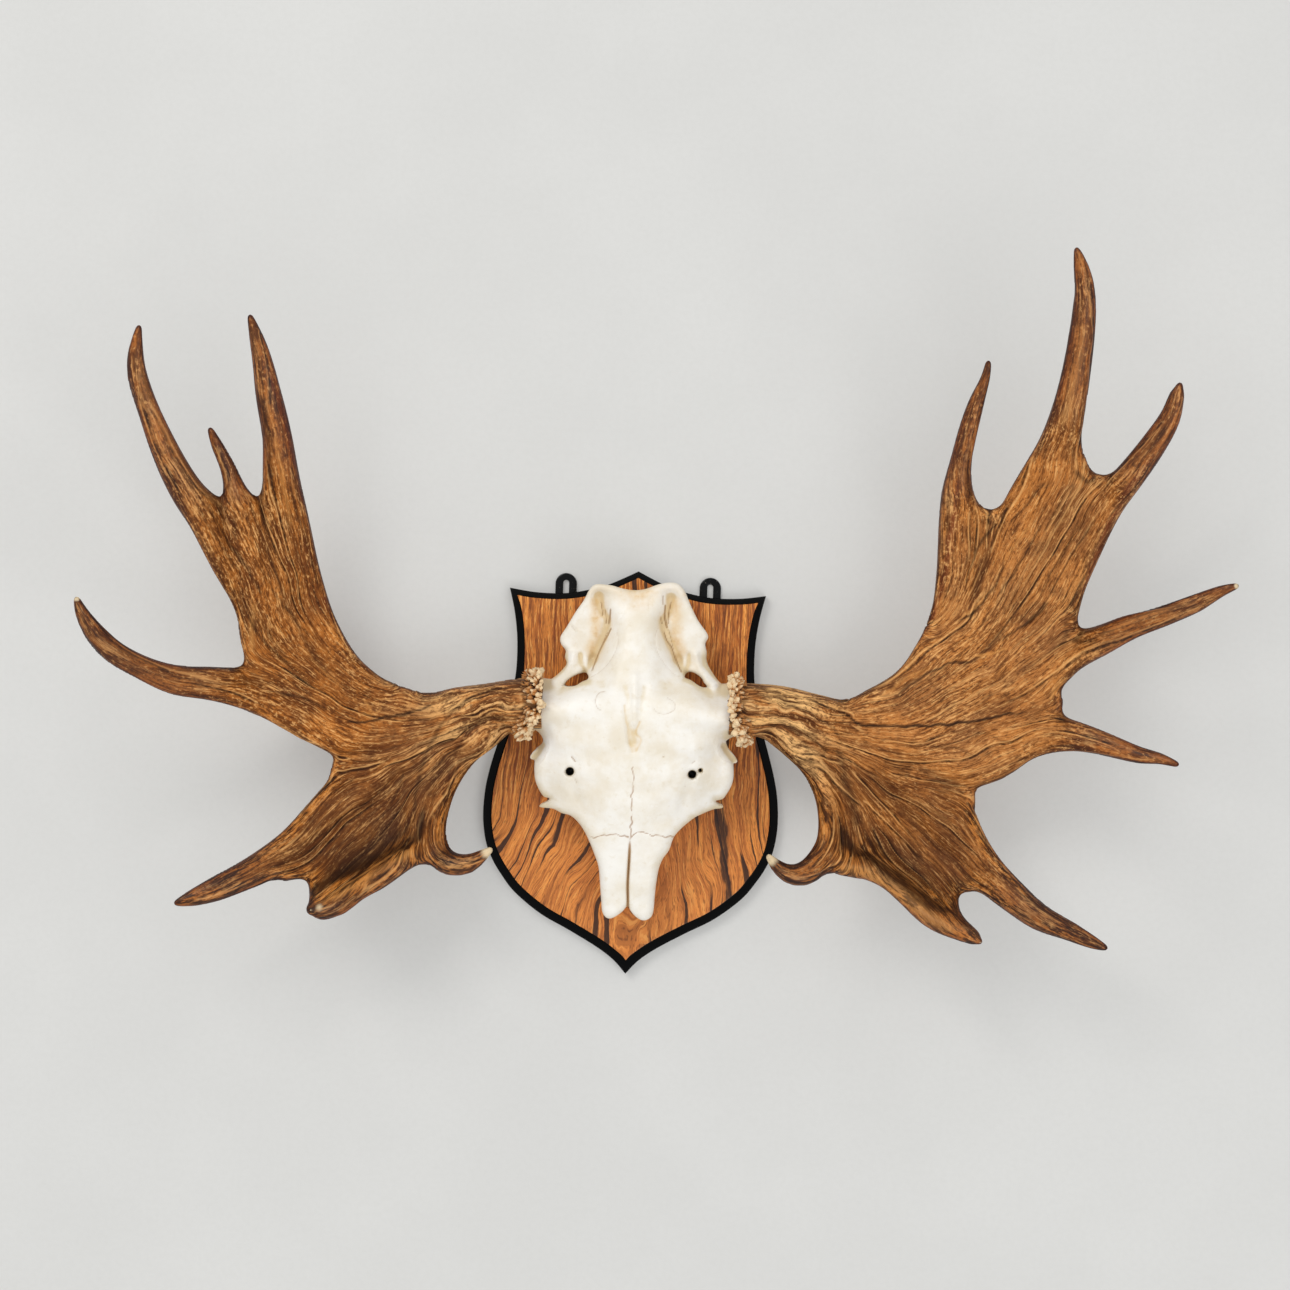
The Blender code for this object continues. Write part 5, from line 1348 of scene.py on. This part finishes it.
def antler(name, limbs, order, between, shades, face_x, side, finish, seed):
    """One whole antler from its limb table.

    The outline is the rim of all the limbs run together. The middle surface lies at the shared
    height of the limbs, and each face stands off it by thickness * sin turn (rolled_grid). Both
    faces are then moved straight out by the furrows of the grain.
    """
    lines = {key: limb_rows(rows) for key, rows in limbs.items()}
    # The grain is numbered round the rim: each limb's two sides have the numbers of its edges.
    edges = np.concatenate([[0.0], np.cumsum(list(order.values()))])
    rims = {key: (edges[k], edges[k + 1]) for k, key in enumerate(order)}
    rims["beam"] = (edges[-1], 0.0)
    for key, (before, after) in between.items():
        rims[key] = (edges[before], edges[after])
    if side > 0:
        rims = {key: pair[::-1] for key, pair in rims.items()}
    # The grid ends in a straight column at the burr.
    step = ANTLER_STEP
    spots = np.vstack(list(lines.values()))
    low = spots[:, :2].min(axis=0) - GRID_MARGIN
    high = spots[:, :2].max(axis=0) + GRID_MARGIN
    if side < 0:
        start_x = face_x - step * math.ceil((face_x - low[0]) / step)
        columns = int(round((face_x - start_x) / step)) + 1
    else:
        start_x = face_x
        columns = int((high[0] - face_x) / step) + 1
    start_y = low[1]
    shape = (int((high[1] - start_y) / step) + 1, columns)
    fields = limb_fields(lines, rims, (*order, "beam"), start_x, start_y, shape)
    table = limb_samples(lines, (face_x, limbs["beam"][0][1]))
    depth = fields[0]
    # The rim radius is worked out on a coarser grid first.
    far = step * ROLL_EVERY
    gx, gy = np.meshgrid(start_x + far * np.arange(shape[1] // ROLL_EVERY + 2),
                         start_y + far * np.arange(shape[0] // ROLL_EVERY + 2))
    roll = shared(table, [6], gx.ravel(), gy.ravel(), 0.4, 3.0)[0].reshape(gx.shape)
    gx, gy = np.meshgrid(start_x + step * np.arange(shape[1]), start_y + step * np.arange(shape[0]))
    roll = read_grid(roll, start_x, start_y, far, gx, gy)

    x, y, turn, rim, j, i, quads = rolled_grid(depth, start_x, start_y, step, roll, -side)
    height, phi = shared(table, [2, 5], x, y, 0.55, 5.0)
    thick = shared(table, [4], x, y, 0.4, 3.0)[0]
    tips = np.array([line[0, :2] for key, line in lines.items() if key in order])
    to_tips = np.hypot(x[:, None] - tips[:, 0], y[:, None] - tips[:, 1])
    tip = np.min(to_tips, axis=1)
    bare = np.array([BARE_TIPS.get(key, 0.5) for key in lines if key in order])
    polish = np.max(1.0 - to_tips / bare, axis=1)
    lean = np.array(BURR_LEAN[name], float)
    burr_way = side * x - np.interp(y, lean[:, 0], lean[:, 1])
    stand = thick * np.sin(turn)

    # The lower face repeats every point of the upper one but those of the rim.
    inner = ~rim
    lower = np.arange(len(x))
    lower[inner] = len(x) + np.arange(inner.sum())
    both = np.concatenate([np.arange(len(x)), np.nonzero(inner)[0]])
    face = np.concatenate([np.ones(len(x)), -np.ones(inner.sum())])
    points = np.column_stack([x[both], y[both], height[both] + face * stand[both]])
    faces = np.vstack([quads, lower[quads][:, ::-1]])
    edge, crest, psi, octave, breadth = (field[j, i][both] for field in fields)
    phi, tip, polish, burr_way, turn = (value[both] for value in (phi, tip, polish, burr_way, turn))

    # The two faces carry different furrows; they run into each other round the rim.
    above = 0.5 + 0.5 * face * np.sin(turn)
    px, py = x[both], y[both]
    for spot_x, spot_y, radius in BARE_SPOTS:
        broken = 0.44 - 0.44 * np.hypot(px - spot_x, py - spot_y) / radius
        polish = np.maximum(polish, np.where(face > 0, broken, -1.0))
    on_beam = unit(1.25 - phi / 150)
    bends = []
    for k in (seed, seed + 40):
        bend = 5.0 * wander(px / 70, py / 70, k) + 2.2 * wander(px / 24, py / 24, k + 1)
        bend = bend + 1.5 * on_beam * wander(px / 9, py / 9, k + 2)
        bends.append(psi + bend * unit(edge / 25) / 2.0 ** octave)
    grain_line = above * bends[0] + (1 - above) * bends[1]
    grain = (grain_line, phi, octave)
    swell = furrows(*grain, *SWELLS, seed + 80) * np.clip(edge / 12, 0.2, 1)
    ridge = furrows(*grain, *RIDGES, seed + 120) + 0.6 * furrows(*grain, *BROAD_RIDGES, seed + 160)
    long_line, long_share = grain_lines(*grain, *LONG_LINES, seed + 300)
    short_line, short_share = grain_lines(*grain, *SHORT_LINES, seed + 340)
    on_tine = unit(1.35 - breadth / 7)
    smooth_tip = unit((tip - 4) / 45)
    ridged = 0.22 + 0.78 * np.maximum(np.maximum(on_beam, 0.7 * on_tine), 0.6 * np.exp(-edge / 9))
    shade, lift = shades_at(shades, x, y, seed + 400)
    shade = np.where((face > 0)[:, None], shade[both], 0.0)
    lift = np.where(face > 0, lift[both], 0.0)
    bulge = RIDGE_RISE * crest * unit(edge / 10)
    relief = (bulge + SWELL_RISE * swell + (GRAIN_RISE + BEAM_MORE * on_beam) * ridge * ridged + lift
              - LINE_SINKS * long_share * np.exp(-(long_line / LINE_WIDE) ** 2)
              + LIP_RISE * long_share * np.exp(-((long_line - LIP_OFF) / LINE_WIDE) ** 2)) * smooth_tip
    # The foot of the beam swells up to the burr, and draws in where it meets the skull.
    grown = unit(burr_way / 3)
    crown = grown * unit((BURR_WIDTH[name] + 2 - burr_way) / 5)
    relief = relief * grown * (1 - 0.6 * crown) + BURR_RISE * crown
    relief = relief - 4 * unit(0.5 - burr_way / 4)
    points = points + outward(points, faces) * relief[:, None]
    hollows = []
    for sigma in (2.0, 8.0):
        upper = hollow_at(points[:len(x), 2], i, j, shape, sigma)
        under = -hollow_at(points[lower, 2], i, j, shape, sigma)
        hollows.append(np.where(face > 0, upper[both], under[both]))
    # The end at the skull is cut flat and closed.
    at_face = np.concatenate([i, i[inner]]) == (columns - 1 if side < 0 else 0)
    points[at_face, 0] = face_x
    end_top = np.nonzero(at_face[:len(x)])[0]
    end_top = end_top[np.argsort(j[end_top])]
    end_low = lower[end_top]
    cap = np.stack([end_top[:-1], end_low[:-1], end_low[1:], end_top[1:]], 1)
    if side > 0:
        cap = cap[:, ::-1]
    faces = faces.tolist() + [list(dict.fromkeys(quad)) for quad in cap.tolist()]
    in_front = shared(table, [7], x, y, 0.5, 5.0)[0][both]
    stores = (("grain", np.column_stack([grain_line, phi, face * np.sin(turn)])),
              ("growth", np.column_stack([octave, burr_way / BURR_WIDTH[name], short_share])),
              ("furrow", np.column_stack([hollows[0], hollows[1], ridge * ridged])),
              ("part", np.column_stack([edge, in_front, breadth])),
              ("lines", np.column_stack([long_line, short_line, long_share])),
              ("shade", shade), ("polish", np.maximum(polish, -1.0)))
    piece = placed(name, points, faces, finish, stores)
    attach(piece, "root")
    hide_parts(name + "_main", name + "_front")


antler_bone = Finish("grown_antler", Roughness=0.5, Specular_IOR_Level=0.1,
                     Coat_Roughness=0.38)


def stored_three(name):
    """The three numbers kept under one name at each point of an antler."""
    vector = antler_bone.stored(name)
    return [vector.part(axis) for axis in range(3)]


psi, phi, level = stored_three("grain")
octave, burr_way, short_share = stored_three("growth")
fine_hollow, hollow, ridge = stored_three("furrow")
edge, in_front, breadth = stored_three("part")
long_line, short_line, long_share = stored_three("lines")
dark_stroke, pale_stroke, rust_stroke = stored_three("shade")
polish = antler_bone.stored("polish", "Fac")
spot = antler_bone.place()


def along_grain(across, along, seed, detail, rough):
    """Noise drawn out along the grain, its cells across by along millimetres wherever it lies."""
    layers = []
    for k in range(-2, 4):
        share = (1.0 - abs(octave - float(k))).at_least(0.0)
        where = antler_bone.vector(psi * (2.0 ** k / across), phi * (1.0 / along),
                                   level * 2.0 + (3.7 * k + seed))
        layers.append(share * antler_bone.cloud(where, 1.0, detail, rough))
    return sum(layers[1:], layers[0])


speckle = along_grain(1.7, 5.0, 60.0, 2.0, 0.7)
fibres = along_grain(1.9, 26.0, 0.0, 3.0, 0.75)
strands = along_grain(3.2, 60.0, 90.0, 2.0, 0.6)
streaks = along_grain(9.0, 80.0, 30.0, 2.0, 0.6)
patches = antler_bone.cloud(spot, 17.0, 4.0, 0.6)
blotches = antler_bone.cloud(spot, 70.0, 3.0, 0.65)
on_beam = phi.within(55.0, 190.0, 0.0, 1.0)
on_tine = breadth.within(9.0, 4.0)
near_rim = edge.within(16.0, 5.0)
coarse = near_rim.at_least(on_beam).at_least(on_tine)

soot = (40, 20, 8)
umber = (84, 42, 14)
golden = (206, 130, 58)
straw = (242, 182, 112)
ivory = (232, 208, 168)
rust = (116, 48, 24)
sunny = spot.part(0).within(0.1, 0.3, 0.45) * (1.0 - in_front * 0.7) * (1.0 - on_tine)
sunny = sunny * spot.part(1).within(0.2, 0.32, 0.5, 1.0)
sunny = sunny.at_least(on_beam * 0.45)
shadow = in_front.within(0.4, 0.95, 0.75) * edge.within(8.0, 19.0)
shadow = shadow * spot.part(0).within(0.1, 0.3, 0.5, 1.0)
gilded = in_front.within(0.3, 0.9, 0.6) * edge.within(13.0, 6.0) * blotches.within(0.6, 0.42)
shadowed = ridge.within(-0.1, -0.7, 0.8) * (0.45 + coarse * 0.45)
crested = ridge.within(0.0, 0.5, 1.0) * (0.15 + on_beam * 0.85 + near_rim * 0.1)
dark_strand = strands.within(0.5, 0.57, 0.8) * (0.22 + coarse * 0.72 - on_tine * 0.3)
pale_strand = strands.within(0.47, 0.38, 0.65) * (0.25 + coarse * 0.6)
front_rim = in_front.within(0.3, 0.9) * edge.within(17.0, 7.0)
comes = blotches.within(0.38, 0.58)
groove = abs(long_line).within(1.5, 0.3, 0.85) * long_share * (0.3 + comes * 0.7)
lip = long_line.within(1.0, 1.7) * long_line.within(3.4, 2.2, 0.5) * long_share
cut = abs(short_line).within(0.9, 0.1, 0.65) * short_share * patches.within(0.62, 0.44)
mottled = 0.55 + fibres * 0.9
frayed = front_rim * fibres.within(0.5, 0.56, 0.7) * edge.within(0.5, 4.0)
tine_share = on_tine * (1.0 - on_beam)
# Along the top of each tine: a patchy painted highlight.
wear_and_painted_light = level.within(0.88, 0.99) * tine_share * patches.within(0.52, 0.4) * fibres.within(0.56, 0.46)
collar = burr_way.within(0.0, 0.1) * burr_way.within(1.25, 0.9, 0.8)
colour = antler_bone.coats(
    (118, 64, 24),
    (patches.within(0.36, 0.62), (184, 110, 44)),
    (blotches.within(0.5, 0.7, 0.5), umber),
    (sunny, (202, 138, 80)),
    (shadow, (74, 42, 22)),
    (gilded, (206, 132, 54)),
    (streaks.within(0.5, 0.66, 0.3), umber),
    (streaks.within(0.5, 0.34, 0.35), golden),
    # Darker in the hollows and paler on the bulges of the bone: painted shade and painted highlight.
    (hollow.within(0.8, 6.0, 0.6) * edge.within(2.0, 9.0), (74, 42, 22)),
    (hollow.within(-1.5, -6.0, 0.3), golden),
    (shadowed, umber),
    (crested, (246, 192, 124)),
    (dark_strand, (60, 28, 10)),
    (pale_strand, golden),
    (pale_strand * on_beam, (250, 204, 140)),
    (front_rim * strands.within(0.49, 0.55, 0.7), (58, 28, 12)),
    ((rust_stroke * (0.55 + fibres * 0.9)).within(0.1, 0.8, 0.8), rust),
    (fibres.within(0.5, 0.61, 0.8), umber),
    (fibres.within(0.47, 0.36, 0.62) * (1.1 - in_front * 0.3), straw),
    (speckle.within(0.51, 0.63, 0.65), umber),
    (speckle.within(0.45, 0.34, 0.58) * (1.0 - in_front * 0.5), straw),
    (cut, soot),
    (lip, straw),
    (groove, soot),
    # Darker in the small hollows: painted shade.
    (fine_hollow.within(0.12, 0.8, 0.45), soot),
    # The strokes: grooves and painted shade in hollows darker, crests paler and partly painted highlight.
    ((pale_stroke * mottled).within(0.05, 0.8, 0.6), (222, 156, 84)),
    ((dark_stroke * mottled).within(0.05, 0.8, 0.8), soot),
    # Darker along the very rim: painted shade on the edge as it turns down.
    (edge.within(2.6, 0.0, 0.36), (70, 34, 16)),
    (frayed, soot),
    # Tines darker towards their sides and paler along their tops: painted shade and painted highlight of
    # their roundness.
    (abs(level).within(0.97, 0.3, 0.95, 0.35) * tine_share, (150, 108, 78), "MULTIPLY"),
    (wear_and_painted_light * 0.4, (232, 172, 106)),
    (collar, (84, 52, 28)),
    ((polish + fibres * 0.7).within(0.35, 0.85, 0.85), ivory))
height = fibres * 0.9 + speckle * 0.35 + strands * 1.2 - groove * 0.6 - cut * 0.4
antler_bone.wear(Base_Color=colour, Roughness=fibres.within(0.3, 0.7, 0.62, 0.4),
                 Coat_Weight=on_tine * 0.28,
                 Normal=antler_bone.bump(height, 0.0016, 0.8))

# How much of the grain each point takes, in order from the crest side round to the brow.
LEFT_ORDER = {"inner_point": 22, "short_point": 15, "long_point": 18, "outer_point": 20,
              "front_point": 22, "front_rim": 18, "brow_point": 20}
LEFT_BETWEEN = {"outer_web": (3, 3), "fork_web": (4, 4), "front_web": (5, 6), "front_bay": (5, 5),
                "front_floor": (6, 6)}
RIGHT_ORDER = {"inner_point": 18, "tall_point": 20, "hooked_point": 18, "outer_point": 18,
               "low_point": 16, "front_point": 20, "front_rim": 18, "brow_point": 20}
RIGHT_BETWEEN = {"inner_web": (1, 1), "tall_web": (2, 2), "outer_web": (2, 2), "hook_web": (3, 3),
                 "low_web": (4, 4), "fork_web": (5, 5), "front_web": (6, 7), "front_bay": (6, 6),
                 "front_floor": (7, 7)}
antler("antler_left", LEFT_LIMBS, LEFT_ORDER, LEFT_BETWEEN, LEFT_SHADES, -93.0, -1, antler_bone, 11)
antler("antler_right", RIGHT_LIMBS, RIGHT_ORDER, RIGHT_BETWEEN, RIGHT_SHADES, 97.0, 1, antler_bone,
       511)


# ----------------------------------------------------------------------------------------------
# The burrs: the rough crown of bony pearls that grows round the foot of each antler, where it
# meets the skull. They are the antler's own bone, pale at their worn tops and dark in between;
# the darkening towards each pearl's foot is painted shade.
# ----------------------------------------------------------------------------------------------
BURR_HEART = {"antler_left": (71.0, 100.0), "antler_right": (72.0, 100.0)}
BURR_PEARLS = 300
BURR_REACH = 32.5
BURR_TAPER = 6.5
# Each pearl's radius and how long it is drawn out, at the inner edge of the burr.
PEARL_SIZE = (1.2, 3.5)
PEARL_LONG = (1.0, 1.9)
PEARL_LUMPS = 0.45
PEARL_AROUND = 8
PEARL_ROWS = 5
GOLDEN_TURN = 0.618034


def pearl_crown(name, antler_name, side, finish, seed):
    """A crown of pearls, each a ball of radius r * (1 + lumps), drawn out along its own way.

    Pearl k stands at angle 2 * pi * 0.618 * k round the burr and k / count across it, which
    spreads them evenly. Its way leads straight out, and leans to the skull at the inner edge.
    """
    # Where each pearl stands.
    draw = np.random.default_rng(seed)
    k = np.arange(BURR_PEARLS)
    angle = 2 * np.pi * GOLDEN_TURN * k + draw.uniform(-0.12, 0.12, BURR_PEARLS)
    across = unit((k + draw.uniform(-9, 9, BURR_PEARLS)) / BURR_PEARLS) ** 1.3
    stand = BURR_REACH - BURR_TAPER * across ** 1.5
    stand = stand + draw.normal(0, 1.5, BURR_PEARLS) * (1 - 0.6 * across)
    heart_y, heart_z = BURR_HEART[antler_name]
    y = heart_y + stand * np.cos(angle)
    z = heart_z + (stand - 2.0) * np.sin(angle)
    lean = np.array(BURR_LEAN[antler_name], float)
    x = side * (np.interp(y, lean[:, 0], lean[:, 1]) + 1.0 + across * (BURR_WIDTH[antler_name] - 2.0))
    # The way it points, two directions square to that, its radius and how far it is drawn out.
    way = np.column_stack([-side * (0.8 - 5.0 * across), np.cos(angle), np.sin(angle)])
    way = way + draw.normal(0, 0.22, way.shape)
    way = way / np.linalg.norm(way, axis=1, keepdims=True)
    flat = np.cross(way, np.array([0.3, 0.5, 0.8]))
    flat = flat / np.linalg.norm(flat, axis=1, keepdims=True)
    third = np.cross(way, flat)
    size = draw.uniform(*PEARL_SIZE, BURR_PEARLS) * (1.15 - 0.55 * across)
    long = draw.uniform(*PEARL_LONG, BURR_PEARLS) * (1 + 1.4 * across)
    # A ball with a point at each end, made lumpy and put in each pearl's place.
    rise = np.pi * (np.arange(1, PEARL_ROWS) / PEARL_ROWS)
    turns = 2 * np.pi * np.arange(PEARL_AROUND) / PEARL_AROUND
    ball = np.stack([np.outer(np.sin(rise), np.cos(turns)), np.outer(np.sin(rise), np.sin(turns)),
                     np.outer(np.cos(rise), np.ones(PEARL_AROUND))], axis=-1).reshape(-1, 3)
    ball = np.vstack([[(0, 0, 1)], ball, [(0, 0, -1)]])
    lumps = wander(ball[:, 0] * 1.9 + 3.1 * k[:, None], ball[:, 1] * 1.9 + ball[:, 2] * 1.3,
                   seed + 1)
    r = size[:, None] * (1 + PEARL_LUMPS * lumps)
    points = np.column_stack([x, y, z])[:, None]
    for axis, direction in enumerate((flat, third, long[:, None] * way)):
        points = points + (r * ball[:, axis])[..., None] * direction[:, None]
    # Its faces: a fan at each end, and four-sided ones between.
    ring = 1 + np.arange(PEARL_AROUND)
    ahead = np.roll(ring, -1)
    last = len(ball) - 1
    faces = [np.stack([np.zeros(PEARL_AROUND, int), ring, ahead], 1).tolist()]
    for row in range(PEARL_ROWS - 2):
        a, b = ring + row * PEARL_AROUND, ahead + row * PEARL_AROUND
        faces.append(np.stack([a, a + PEARL_AROUND, b + PEARL_AROUND, b], 1).tolist())
    a, b = ring + (PEARL_ROWS - 2) * PEARL_AROUND, ahead + (PEARL_ROWS - 2) * PEARL_AROUND
    faces.append(np.stack([np.full(PEARL_AROUND, last), b, a], 1).tolist())
    one = [face for group in faces for face in group]
    every = [[v + n * len(ball) for v in face] for n in range(BURR_PEARLS) for face in one]
    # What the finish reads: the place on the pearl, its own tint and its place on the burr.
    tint = draw.uniform(0, 1, BURR_PEARLS)
    facts = np.stack([np.broadcast_to(ball[:, 2], lumps.shape),
                      np.broadcast_to(tint[:, None], lumps.shape),
                      np.broadcast_to(across[:, None], lumps.shape)], axis=-1)
    crown = placed(name, points.reshape(-1, 3), every, finish, (("pearl", facts.reshape(-1, 3)),))
    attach(crown, "root")
    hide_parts(antler_name + "_main")


burr_bone = Finish("pearled_burr", Roughness=0.5, Specular_IOR_Level=0.3)
spot = burr_bone.place()
pearl = burr_bone.stored("pearl")
rise, tint, across = (pearl.part(k) for k in range(3))
crumb = burr_bone.cloud(spot, 330.0, 3.0, 0.65)
stain = burr_bone.cloud(spot, 90.0, 3.0, 0.6)
# Pale at the worn tops, darker towards the burr's outer edge and towards each pearl's foot: wear, with
# painted shade at the feet.
wear_and_painted_light = rise * 1.3 + crumb * 1.4 + stain * 0.6 + tint * 0.8 - across * 1.7
tone = burr_bone.coats(
    (66, 36, 16),
    (wear_and_painted_light.within(-0.2, 1.0), (188, 126, 66)),
    (wear_and_painted_light.within(1.0, 2.0), (238, 208, 164)),
    (crumb.within(0.42, 0.3, 0.6), (66, 38, 20)))
burr_bone.wear(Base_Color=tone, Roughness=crumb.within(0.3, 0.7, 0.6, 0.4),
               Normal=burr_bone.bump(crumb, 0.0012, 0.7))
pearl_crown("burr_left", "antler_left", -1, burr_bone, 21)
pearl_crown("burr_right", "antler_right", 1, burr_bone, 22)
